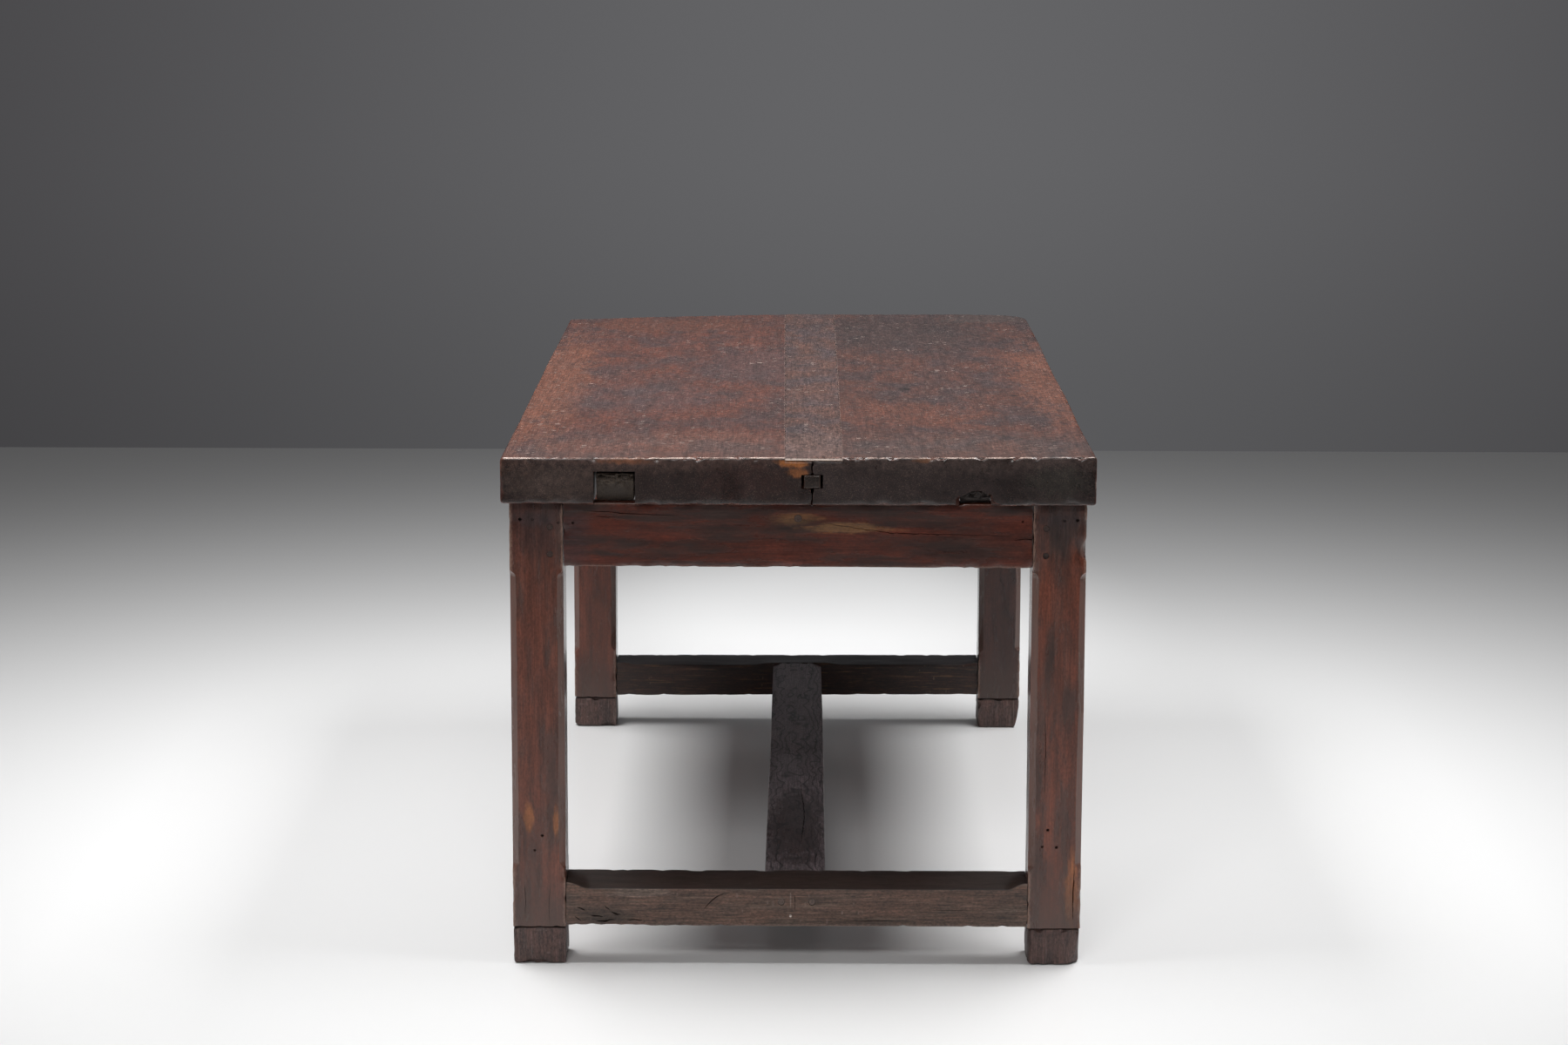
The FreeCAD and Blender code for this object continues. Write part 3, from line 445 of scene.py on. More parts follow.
    # what lies over that: pale dots first, where bare wood comes through on a sawn end
    dots = add(tree, "ShaderNodeMath", {"operation": "MULTIPLY", 0: shows["dots"], 1: shows["dot_patches"]})
    over = [(add(tree, "ShaderNodeMath", {"operation": "MULTIPLY", 0: dots, 1: cut_end}), "#8c7266")]
    if rings:
        # each year starts with a sharp line of open pores that fades into smooth late wood
        axis = {"X": (-pith[2], pith[1], 0), "Y": (pith[0], -pith[2], 0), "Z": (pith[0], pith[1], 0)}[grain]
        from_pith = add(tree, "ShaderNodeVectorMath", {"operation": "SUBTRACT", 0: turned, 1: axis})
        wander = add(tree, "ShaderNodeVectorMath", {
            "operation": "MULTIPLY_ADD", 0: clouds["bends"].outputs["Color"], 1: (bend[2], bend[2], 0),
            2: from_pith})
        across = add(tree, "ShaderNodeVectorMath", {"operation": "MULTIPLY", 0: wander, 1: (1, 1, 0)})
        radius = add(tree, "ShaderNodeVectorMath", {"operation": "LENGTH", 0: across}).outputs["Value"]
        age = add(tree, "ShaderNodeMath", {"operation": "DIVIDE", 0: radius, 1: ring})
        year = add(tree, "ShaderNodeMath", {"operation": "FRACT", 0: age})
        over.append((add(tree, "ShaderNodeMapRange", {
            "interpolation_type": "SMOOTHSTEP", "Value": year, "From Min": line, "From Max": 0.0,
            "To Max": rings}), tones[2]))
    pores = add(tree, "ShaderNodeMath", {"operation": "MULTIPLY", 0: shows["pores"], 1: face_grain})
    over.append((pores, tones[2]))
    if checks:
        opened = add(tree, "ShaderNodeMath", {
            "operation": "MULTIPLY", 0: shows["checks"], 1: shows["check_patches"]})
        opened = add(tree, "ShaderNodeMath", {"operation": "MULTIPLY", 0: opened, 1: face_grain})
        over.append((opened, "#120c0b"))
    if dry:
        # streaks where the stain has gone and dry wood shows
        bare = add(tree, "ShaderNodeMath", {"operation": "MULTIPLY", 0: shows["dry"], 1: face_grain})
        over.append((bare, dry[0]))
    if rays:
        fleck = add(tree, "ShaderNodeMath", {"operation": "MULTIPLY", 0: shows["rays"], 1: face_grain})
        over.append((fleck, tones[3]))
    if specks:
        # pale nicks through the wax, in clusters; most are 2 mm long and drawn near 5 mm so that they show
        cells = add(tree, "ShaderNodeVectorMath", {
            "operation": "MULTIPLY_ADD", 0: turned, 1: (1 / 13, 1 / 13, 1 / 7), 2: (0, 0, seed * 4)})
        nicks = add(tree, "ShaderNodeTexVoronoi", {"Vector": cells, "Scale": 1.0, "Randomness": 1.0})
        chance = add(tree, "ShaderNodeSeparateColor", {"Color": nicks.outputs["Color"]}).outputs
        # a third of the cells have no nick, and the others have small ones up to large ones
        size = add(tree, "ShaderNodeMapRange", {"Value": chance["Red"], "From Min": 0.35, "To Max": 0.6})
        size = add(tree, "ShaderNodeMath", {"operation": "MULTIPLY", 0: shows["clusters"], 1: size})
        nick = add(tree, "ShaderNodeMath", {
            "operation": "LESS_THAN", 0: nicks.outputs["Distance"], 1: size})
        depth = add(tree, "ShaderNodeMapRange", {
            "Value": chance["Green"], "To Min": 0.35 * specks, "To Max": specks})
        nick = add(tree, "ShaderNodeMath", {"operation": "MULTIPLY", 0: nick, 1: depth})
        nick = add(tree, "ShaderNodeMath", {"operation": "MULTIPLY", 0: nick, 1: face_grain})
        over.append((nick, tones[3]))
    if flare:
        # the lower end, darkened by damp and mops
        level, top, shade = flare
        height = add(tree, "ShaderNodeSeparateXYZ", {"Vector": place}).outputs["Z"]
        over.append((add(tree, "ShaderNodeMapRange", {
            "interpolation_type": "SMOOTHSTEP", "Value": height, "From Min": top, "From Max": level,
            "To Max": 0.75}), shade))
    if trodden:
        # what looks up has been trodden smooth and dark by feet
        upward = add(tree, "ShaderNodeSeparateXYZ", {"Vector": normal}).outputs["Z"]
        over.append((add(tree, "ShaderNodeMapRange", {
            "interpolation_type": "SMOOTHSTEP", "Value": upward, "From Min": 0.5, "From Max": 0.85,
            "To Max": 0.85}), trodden))
    if painted_bevel_sheen:
        # the chamfers, which face both ways at once, are painted greyer and less red: a painted sheen, where
        # they mirror the pale floor
        faced = add(tree, "ShaderNodeVectorMath", {"operation": "ABSOLUTE", 0: normal})
        faced = add(tree, "ShaderNodeSeparateXYZ", {"Vector": faced})
        both = add(tree, "ShaderNodeMath", {"operation": "MULTIPLY", 0: faced, 1: faced.outputs["Y"]})
        over.append((add(tree, "ShaderNodeMapRange", {
            "interpolation_type": "SMOOTHSTEP", "Value": both, "From Min": 0.28, "From Max": 0.44,
            "To Max": 0.6}), painted_bevel_sheen))
    # hands, cloths and shoes have rubbed the stain off the arrises; along the top's near arris this pale
    # is also a painted highlight
    wear = add(tree, "ShaderNodeAttribute", {"attribute_name": "worn"}).outputs["Fac"]
    rubbed = add(tree, "ShaderNodeMath", {"operation": "MULTIPLY", 0: wear, 1: clouds["grit"]})
    over.append((add(tree, "ShaderNodeMapRange", {
        "interpolation_type": "SMOOTHSTEP", "Value": rubbed, "From Min": 0.12, "From Max": 0.46,
        "To Max": worn}), tones[3]))
    for share, shade in over:
        colour = add(tree, "ShaderNodeMix", {
            "data_type": "RGBA", 0: share, 6: colour, 7: linear(shade)}).outputs[2]

    # the surface stands up with its fibres and sinks at its pores, flecks and cracks
    height = add(tree, "ShaderNodeMath", {"operation": "MULTIPLY", 0: pores, 1: -0.7})
    swells = [(clouds["fibres"], 0.55), (clouds["grit"], 0.35)]
    swells += [(fleck, -0.25)] if rays else []
    swells += [(opened, -0.9)] if checks else []
    for mark, amount in swells:
        height = add(tree, "ShaderNodeMath", {"operation": "MULTIPLY_ADD", 0: mark, 1: amount, 2: height})
    bump = add(tree, "ShaderNodeBump", {"Strength": 1.0, "Distance": relief * MM, "Height": height})
    shader = add(tree, "ShaderNodeBsdfPrincipled", {
        "Base Color": colour, "Roughness": shows["gloss"], "Normal": bump, "IOR": 1.5})
    add(tree, "ShaderNodeOutputMaterial", {"Surface": shader})
    return material


# the marks of its life, placed in mm as the near end is seen

# nail holes: x, z, width and depth
nail_holes = {
    ("front", "left"): [(-400, 663, 5.5, 9), (-382, 663, 5, 3), (-345, 658, 4, 3), (-372, 194, 5, 8),
                        (-383, 172, 4.5, 6)],
    ("front", "right"): [(383, 663, 5, 4), (402, 664, 5.5, 8), (366, 205, 5, 8), (379, 179, 5, 8),
                         (358, 180, 4.5, 6)]}
apron_nail_holes = [(-324, 658, 4, 7), (323, 662, 4, 7), (340, 662, 4, 7)]

# splits and worm-eaten chips: their points as x and z, or as x and y on the bar, then width and depth
leg_splits = {
    ("front", "left"): [([(-398, 70), (-397, 96), (-399, 124)], 0.9, 4),
                        ([(-362, 62), (-363, 88), (-361, 118)], 0.8, 3)],
    ("front", "right"): [([(405, 70), (404, 110), (406, 150)], 1.8, 6),
                         ([(360, 250), (361, 330), (359, 392)], 0.9, 4)],
    ("rear", "left"): [([(-380, 300), (-379, 380)], 0.9, 3)],
    ("rear", "right"): [([(352, 640), (360, 600), (366, 560)], 1.2, 4)]}
apron_splits = [
    ([(1, 664), (38, 659), (88, 651), (132, 645), (244, 642), (306, 641)], 1.2, 4),
    ([(311, 636), (353, 636)], 1.8, 5),
    ([(-310, 677), (-240, 672), (-176, 669)], 1.3, 4),
    ([(-296, 668), (-252, 666)], 1.0, 3)]
stretcher_splits = [
    ([(-137, 82), (-128, 93), (-118, 102), (-104, 109)], 1.6, 4), ([(-322, 86), (-310, 82)], 2.4, 4),
    ([(-302, 73), (-284, 71)], 2.8, 4), ([(-272, 79), (-258, 75)], 2.4, 4),
    ([(-294, 65), (-266, 67)], 2.6, 4), ([(-326, 71), (-316, 66)], 2.4, 4),
    ([(-248, 68), (-226, 66)], 2.0, 4), ([(-282, 88), (-274, 82)], 2.0, 3),
    ([(-2, 106), (-3, 82)], 1.0, 3), ([(60, 66), (150, 68)], 1.2, 3), ([(180, 84), (260, 83)], 0.9, 2)]
bar_splits = [
    ([(6, -620), (9, -520), (12, -420), (8, -300), (3, -120)], 2.2, 8),
    ([(27, -757), (28, -690), (31, -610)], 2.0, 7)]

# stains, and patches of painted sheen and painted shade: their middle, their reach each way, their shade
# and how strong they are
top_stains_and_sheen = {
    -1: [((-400, -100, 760), (75, 760, 60), "#764a37", 0.5),
         ((-240, 690, 760), (190, 150, 60), "#5c3628", 0.5),
         ((-60, 120, 760), (150, 260, 60), "#413638", 0.55),
         ((-250, -250, 760), (150, 200, 60), "#463b3d", 0.4),
         # a paler sheen painted over the near end of the left plank
         ((-200, -800, 760), (330, 240, 30), "#6d554d", 0.3),
         ((-8, -850, 750), (28, 8, 8), "#9a5c2a", 0.85),
         ((0, -850, 735), (18, 8, 9), "#824e29", 0.8),
         ((-250, -850, 753), (44, 8, 9), "#6a4029", 0.75),
         ((-350, -850, 722), (95, 8, 36), "#453731", 0.55),
         ((-80, -850, 722), (85, 8, 34), "#2b1512", 0.6)],
    1: [((405, -40, 760), (60, 560, 60), "#6d4231", 0.55),
        ((180, 560, 760), (200, 330, 60), "#332a2a", 0.7),
        ((170, -420, 760), (160, 160, 60), "#6a3c2b", 0.35),
        ((350, 790, 760), (110, 90, 60), "#3a3635", 0.6),
        # a paler sheen painted over the near end of the right plank
        ((230, -800, 760), (330, 220, 30), "#61504a", 0.25),
        ((177, -850, 754), (20, 8, 5), "#6f4424", 0.45),
        ((370, -850, 725), (50, 10, 30), "#2a2a24", 0.5),
        ((171, -147, 760), (16, 22, 9), "#1d1412", 0.9),
        ((343, -227, 760), (8, 10, 9), "#1d1412", 0.8)]}
# a paler sheen painted over the near end of the strip
strip_painted_sheen = [((24, -800, 760), (90, 240, 30), "#6b5650", 0.5)]
leg_stains_and_shade = {
    ("front", "left"): [((-352, -830, 214), (7, 9, 30), "#8a5430", 0.8),
                        ((-391, -830, 222), (9, 9, 26), "#8a5430", 0.8),
                        # painted shade under the top, over the upper leg
                        ((-377, -830, 700), (70, 60, 120), "#352523", 0.7),
                        ((-377, -830, 664), (38, 20, 14), "#33292a", 0.6)],
    ("front", "right"): [((401, -830, 112), (13, 24, 62), "#8c5430", 0.85),
                         # painted shade under the top, over the upper leg
                         ((377, -830, 700), (70, 60, 120), "#2d2625", 0.75),
                         ((377, -830, 664), (38, 20, 14), "#352b2b", 0.6)],
    ("rear", "left"): [((-377, 682, 180), (40, 20, 90), "#5c3527", 0.4)]}
apron_stains = [
    ((-2, -830, 664), (42, 12, 12), "#775839", 0.5), ((64, -830, 652), (86, 12, 9), "#83603f", 0.6),
    ((240, -830, 624), (110, 12, 30), "#33231f", 0.5), ((-330, -830, 640), (40, 12, 60), "#32282a", 0.5)]
stretcher_stains = [
    ((-280, -830, 72), (52, 12, 14), "#33271f", 0.7), ((-230, -830, 108), (60, 12, 8), "#85766c", 0.4),
    ((-9, -830, 74), (2.5, 9, 3), "#cfc2b8", 0.8), ((-9, -830, 96), (1.2, 9, 14), "#8d7f76", 0.5),
    ((60, -830, 66), (120, 12, 6), "#33271f", 0.5)]
bar_stains = [((-4, -500, 124), (60, 300, 60), "#322523", 0.85)]

# where pegs go in, in metres: how far aside on the end faces of the frame, where its side faces lie, how far
# inwards from the middle of a leg the pegs there are, and their heights
PEG_X, SIDE_FACE, PEG_BACK = 0.357, 0.416, 0.020
LOWER_PEG, UPPER_PEG = 0.612, 0.652
BEARER_PEG_LEVEL = 0.6655
BAR_PEG_X, BAR_PEG_LEVEL = 0.0225, 0.095
# the inner faces of the legs, where the rails across the ends begin
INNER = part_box("leg_front_right")[0].x


def corners_of(node):
    """The lowest and the highest corner of a node."""
    return [np.array(corner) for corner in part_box(node)]


def nailed(holes, face, way):
    """The shells of nail holes in an end face at y, way pointing into the wood."""
    return [bore((x * MM, face, z * MM), way, wide, deep, sides=7, narrow=0.6)
            for x, z, wide, deep in holes]


def split(paths, face, way, seed):
    """The shells of splits in an end face at y, way pointing into the wood."""
    return [crack([(x * MM, face, z * MM) for x, z in path], way, wide, deep, seed)
            for path, wide, deep in paths]


# the top

plank_low, plank_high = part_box("top_plank_left")
tongue_low, tongue_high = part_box("seam_tongue")
SEAM = (tongue_low.x + tongue_high.x) / 2
BASE, CROWN = plank_low.z, plank_high.z
NEAR, FAR = plank_low.y, plank_high.y
# how far the left plank's far end falls back, and how far the strip reaches from the seam on each side, at
# its near end and at its far end
SLANT = 60 * MM
STRIP = {-1: (38.5 * MM, 44.5 * MM), 1: (43 * MM, 46.5 * MM)}
# a plank's seam side: the gap at the seam, the depth of the rebate for the strip, and how far back the lips
# of the groove are worn
GAP, REBATE, LIPS = 0.2 * MM, 5.2 * MM, 2.4 * MM
# how deep the groove is cut from the seam, and its floor and head above the underside
GROOVE, GROOVE_FLOOR, GROOVE_HEAD = 15.5 * MM, 25 * MM, 46 * MM
# how far the ends of planks and strip are rounded over
END_ROUND = 4.2 * MM
# hollows worn into the top: their middle and their reach in metres, and their depth in mm
HOLLOWS = [((-0.43, 0.80), (0.11, 0.12), 2.5), ((0.43, 0.85), (0.09, 0.10), 2.0),
           ((0.10, -0.25), (0.16, 0.30), 1.2)]


def strip_edge(side, place, length):
    """How far the strip reaches from the seam, at a place along its length."""
    near, far = STRIP[side]
    return near + (far - near) * place / length


def dipped(points):
    """The top worn down: hollows from use, lower to the left and at its two far corners."""
    x, y, z = points.T
    flat = np.stack([x, y, x * 0], axis=1)
    low = 0.2 + 0.8 * waves(flat, (260, 330, 100), 11) + 3.0 * (0.5 - x / (cad_high.x - cad_low.x))
    for (middle_x, middle_y), (reach_x, reach_y), deep in HOLLOWS:
        low += deep * np.exp(-((x - middle_x) / reach_x) ** 2 - ((y - middle_y) / reach_y) ** 2)
    share = ((z - BASE) / (CROWN - BASE)).clip(0, 1)
    points = points.copy()
    points[:, 2] -= low * MM * share
    # the underside is hewn a little thinner to the left at the near end
    under = (1 - share) * np.exp(-((y - NEAR) / 0.05) ** 2)
    points[:, 2] += under * MM * (0.9 * steps(-x, 0.20, 0.33) + 0.6 * steps(x, 0.29, 0.36))
    return points


def plank(name, side, corner):
    """One plank of the top, grooved and rebated along its seam, its far end worn round or slanting."""
    low, high = corners_of(name)
    width = high[0] - SEAM if side > 0 else SEAM - low[0]
    thick, length = CROWN - BASE, FAR - NEAR
    # the near corner is rounded over this much
    turn = (6 if side < 0 else 4) * MM

    def section(place, shrink):
        wide = width
        if place < turn:
            wide -= turn - math.sqrt(turn ** 2 - (turn - place) ** 2)
        left = place - (length - corner)
        if left > 0:
            wide -= corner - math.sqrt(max(corner ** 2 - left ** 2, 0))
        strip = strip_edge(side, place, length) + 0.15 * MM
        corners = [
            (GAP, shrink), (wide - shrink, shrink), (wide - shrink, thick - shrink),
            (strip, thick - shrink), (strip, thick - REBATE - shrink), (GAP, thick - REBATE - shrink),
            (LIPS, GROOVE_HEAD), (GROOVE, GROOVE_HEAD), (GROOVE, GROOVE_FLOOR), (LIPS, GROOVE_FLOOR)]
        # the long arris is blunt by turns, and on the left bluntest at the near corner
        blunt = 4.5 + 1.5 * math.sin(place * 9) + (4.0 * math.exp(-place / 0.05) if side < 0 else 1.5)
        rounds = [0, 5 * MM, blunt * MM, 0.3 * MM] + [0] * 6
        flat = outline(corners, rounds, [56, 9, 118, 2, 6, 3, 3, 3, 3, 3])
        across = SEAM + side * flat[:, 0]
        return np.column_stack([across, np.full(len(flat), NEAR + place), BASE + flat[:, 1]])

    # more places where the near and far corners turn
    extra = [length - corner * (1 - math.sin(a)) for a in np.linspace(0, math.pi / 2, 9)]
    extra += [6 * MM * (1 - math.cos(a)) for a in np.linspace(0, math.pi / 2, 5)]
    places = stations(length, 8 * MM, END_ROUND, extra)
    caps = END_ROUND + 13 * MM, END_ROUND + 5 * MM
    rings = [section(0, cap) for cap in caps]
    rings += [section(place, inset(place, length, END_ROUND)) for place in places]
    rings += [section(length, cap) for cap in reversed(caps)]
    rings = np.array(rings)
    points = weathered(rings.reshape(-1, 3), low, high, chips=2.6, chip_size=(13, 9, 9), reach=4.5,
                       sway=0.5, sway_size=(90, 140, 60), seed=3 + side)
    points = dipped(points)
    if side < 0:
        across = (SEAM - points[:, 0] - STRIP[-1][1]).clip(0) / (width - STRIP[-1][1])
        points[:, 1] -= SLANT * across * ((points[:, 1] - NEAR) / length)
    # the two long edges are neither quite straight nor quite parallel
    along = np.column_stack([points[:, 0] * 0, points[:, 1], points[:, 0] * 0])
    bow = waves(along, (100, 420, 100), 21 + side)
    out = steps(np.abs(points[:, 0] - SEAM), width * 0.6, width)
    points[:, 0] -= side * out * steps(points[:, 1], NEAR, NEAR + 0.35) * 2.5 * MM * bow
    return lofted(name + "_worn", [points.reshape(rings.shape)])


def near_arris_wear_and_highlight(points):
    """How pale the top's near arris is painted: worn where most hands have been, and with a painted highlight
    along it: patches of about 1 at most, which fade out 3 mm below it."""
    level = np.column_stack([points[:, 0], points[:, 1], np.full(len(points), CROWN)])
    below = points[:, 2] - dipped(level)[:, 2]
    band = steps(below, -2.7 * MM, -1.0 * MM) * (1 - steps(points[:, 1] - NEAR, 2.0 * MM, 4.5 * MM))
    fine, broad = (waves(points, (size, size, size), seed) for size, seed in ((14, 27), (85, 28)))
    return band * (0.45 + 0.5 * fine) * (0.45 + 0.9 * broad)


# the mouths of the two runner sockets as the near end is seen, in mm, both open below: the left one is
# still square, and the right one is broken out to an arch that narrows to the socket behind it
left_mouth = [(-293.5, 670), (-233.5, 670), (-233.5, 736.5), (-293.5, 736.5)]
right_mouth = [(225.5, 670), (225.5, 697), (228, 701), (236, 703.5), (243, 707), (249, 710), (256, 711),
               (262, 710), (266, 707), (273, 706), (277, 704), (279, 697), (284, 693), (292, 690), (292, 670)]
right_inner = [(231, 670), (231, 697), (232, 700), (238, 704), (243, 706), (249, 708.5), (256, 709),
               (262, 708.5), (266, 706), (271, 705), (275, 702), (276, 697), (277, 693), (277.5, 690),
               (277.5, 670)]
SOCKET_FROM, SOCKET_TO = NEAR - 0.01, NEAR + 0.29
sockets = {
    -1: ((left_mouth, SOCKET_FROM), (left_mouth, SOCKET_TO)),
    1: ((right_mouth, SOCKET_FROM), (right_mouth, NEAR + 0.001), (right_inner, NEAR + 0.009),
        (right_inner, SOCKET_TO))}


def top_planks():
    """The two planks, with their sockets cut into the near end."""
    for side, name, corner in ((-1, "top_plank_left", 9 * MM), (1, "top_plank_right", 60 * MM)):
        low, high = corners_of(name)
        socket = [[(x * MM, y, z * MM) for x, z in line] for line, y in sockets[side]]
        piece = cut_out(plank(name, side, corner), [socket])

        def rubbed(points):
            edge = SEAM + side * strip_edge(side, points[:, 1] - NEAR, FAR - NEAR)
            by_strip = 0.55 * np.exp(-np.abs(points[:, 0] - edge) / (1.5 * MM))
            by_strip *= steps(points[:, 2], CROWN - 0.012, CROWN - 0.008)
            return np.maximum(by_strip, near_arris_wear_and_highlight(points))

        # scraped flat, stained, and waxed and wiped ever since: a satin sheen over clouds of sunk stain,
        # with pale nicks where knives have gone through the wax; a paler sheen is painted over the near end,
        # and a highlight is painted along the near arris
        look = old_oak("waxed_oak_" + name, "Y", (side * 190, 0, 640), top_tones[side], 5.0,
                       rings=0.22, line=0.4, bend=(90, 420, 30), rays=0.3, mottle=1.0, patch_size=(68, 125),
                       smear=0.25, streaks=0.4, grit_size=(9, 5), contrast=0.7, seed=side + 2,
                       stains_and_painted_light=top_stains_and_sheen[side], specks=0.4, worn=0.9)
        # the seam side takes no wear, so its box ends far beyond it
        beyond = np.array((1.0, 0, 0))
        low, high = (low - beyond, high) if side > 0 else (low, high + beyond)
        finished(piece, name, look, low, high, reach=2.4, strong=0.5, rubbed=rubbed)


def seam_strip():
    """The thin strip let in over the seam, wider at its far end."""
    low, high = corners_of("seam_strip")
    length = high[1] - low[1]
    rings = []
    for place in stations(length, 9 * MM, END_ROUND):
        shrink = inset(place, length, END_ROUND)
        # its edges wander a little where it was trimmed by hand
        stray = abs(0.35 * MM * math.sin(place * 23) * math.sin(place * 7.1))
        left, right = (SEAM + side * (strip_edge(side, place, length) - stray) for side in (-1, 1))
        flat = outline([(left, low[2]), (right, low[2]), (right, high[2] - shrink), (left, high[2] - shrink)],
                       [0, 0, 0.4 * MM, 0.4 * MM], [6, 1, 14, 1])
        rings.append(np.column_stack([flat[:, 0], np.full(len(flat), low[1] + place), flat[:, 1]]))
    rings = np.array(rings)
    piece = lofted("seam_strip_worn", [dipped(rings.reshape(-1, 3)).reshape(rings.shape)])
    # planed thin and let in later: greyer and more even than the planks, with few lines of grain; a paler
    # sheen is painted over its near end, and a faint highlight along its near arris
    look = old_oak("planed_oak_seam_strip", "Y", (0, 0, 600), strip_tones, 9.0, rings=0.12, rays=0.25,
                   mottle=0.9, patch_size=(60, 120), smear=0.25, streaks=0.45, grit_size=(4, 10),
                   contrast=0.7, seed=9, specks=0.4, stains_and_painted_light=strip_painted_sheen, worn=0.95)
    finished(piece, "seam_strip", look, low, high, reach=1.0,
             # its near arris takes a little of the top's pale wear and painted highlight
             rubbed=lambda points: 0.35 * near_arris_wear_and_highlight(points))


def seam_tongue():
    """The loose tongue in the grooves of the two planks."""
    low, high = corners_of("seam_tongue")
    piece = timber("seam_tongue_worn", low, high, 1, 0.6, 5, rounding=1.5, chips=0.8, sway=0.2, seed=31)
    # sawn to thickness and never scraped: dark and in one tone, with hardly a rubbed edge
    look = old_oak("sawn_oak_seam_tongue", "Y", (0, 0, 660), tongue_tones, 3.0, seed=12, worn=0.2)
    finished(piece, "seam_tongue", look, low, high)


def runner_stubs():
    """What is left of the two leaf runners, each broken off just inside its socket."""
    for side, name, headroom in (("left", "runner_stub_left", 5.5), ("right", "runner_stub_right", 1)):
        low, high = corners_of(name)

        def broken(points):
            front = np.exp(-((points[:, 1] - low[1]) / (9 * MM)) ** 2)
            torn = waves(points, (10, 400, 6), 51) * 9 + waves(points, (3, 400, 2.4), 52) * 4
            edge = 5 * (1 - steps(points[:, 2] - low[2], 0.002, 0.009))
            points = points.copy()
            points[:, 1] += front * (torn + edge) * MM
            # behind the torn face the wood hangs lower, down to the end apron, and stops just past it
            behind = steps(points[:, 1], low[1] + 0.008, low[1] + 0.022)
            behind *= 1 - steps(points[:, 1], -0.79, -0.77)
            under = 1 - steps(points[:, 2], low[2] + 0.002, low[2] + 0.010)
            points[:, 2] -= behind * under * (low[2] - BASE - 1.0 * MM)
            return points

        shrunk = low + np.array((2.5, 0, 0.6)) * MM, high - np.array((2.5, 0, headroom)) * MM
        piece = timber(name + "_broken", *shrunk, 1, 1.5, 2.4, rounding=1.5, shape=broken,
                       cap=(0.95, 0.9, 0.82, 0.74, 0.66, 0.58, 0.5, 0.42, 0.34, 0.26, 0.18, 0.1),
                       chips=2.5, chip_size=(5, 5, 3), reach=3, sway=0.6, seed=44)
        # snapped off across its fibres and dusty since: rough, dull and greyer than the planks
        look = old_oak("broken_oak_" + name, "Y", (0, 0, 640), stub_tones[side], 3.0, rough=0.85, seed=14,
                       worn=0.3)
        finished(piece, name, look, low, high)


# the legs, their feet and the rails between them

# a leg's chamfers, in mm: their width, the height and length of the slope that ends them below, and the
# heights and radius of the scoop that ends them above
CHAMFER, SLOPE_FROM, SLOPE = 9.5, 139.3, 10.7
SCOOP_FROM, SCOOP_TO, SCOOP = 577, 590, 13


def chamfer(place, corner, seed):
    """How wide a leg's chamfer is at a height: cut to a slope at its lower end and scooped out above."""
    mm = place / MM
    if mm > SCOOP_FROM:
        rise = min(mm, SCOOP_TO) - SCOOP_FROM
        wide = CHAMFER - (SCOOP - math.sqrt(max(SCOOP ** 2 - rise ** 2, 0))) * math.sqrt(2)
    else:
        # no two of its four chamfers end quite level
        wide = CHAMFER * min(1, max(0, (mm - SLOPE_FROM - (3 * corner % 5)) / SLOPE))
    stray = noise.noise(Vector((seed * 3.1, corner * 7.7, mm / 70)))
    stray += 0.5 * noise.noise(Vector((corner, seed, mm / 17)))
    return max(wide * (1 + 0.16 * stray), 1.5 + 0.7 * stray, 0.6) * MM


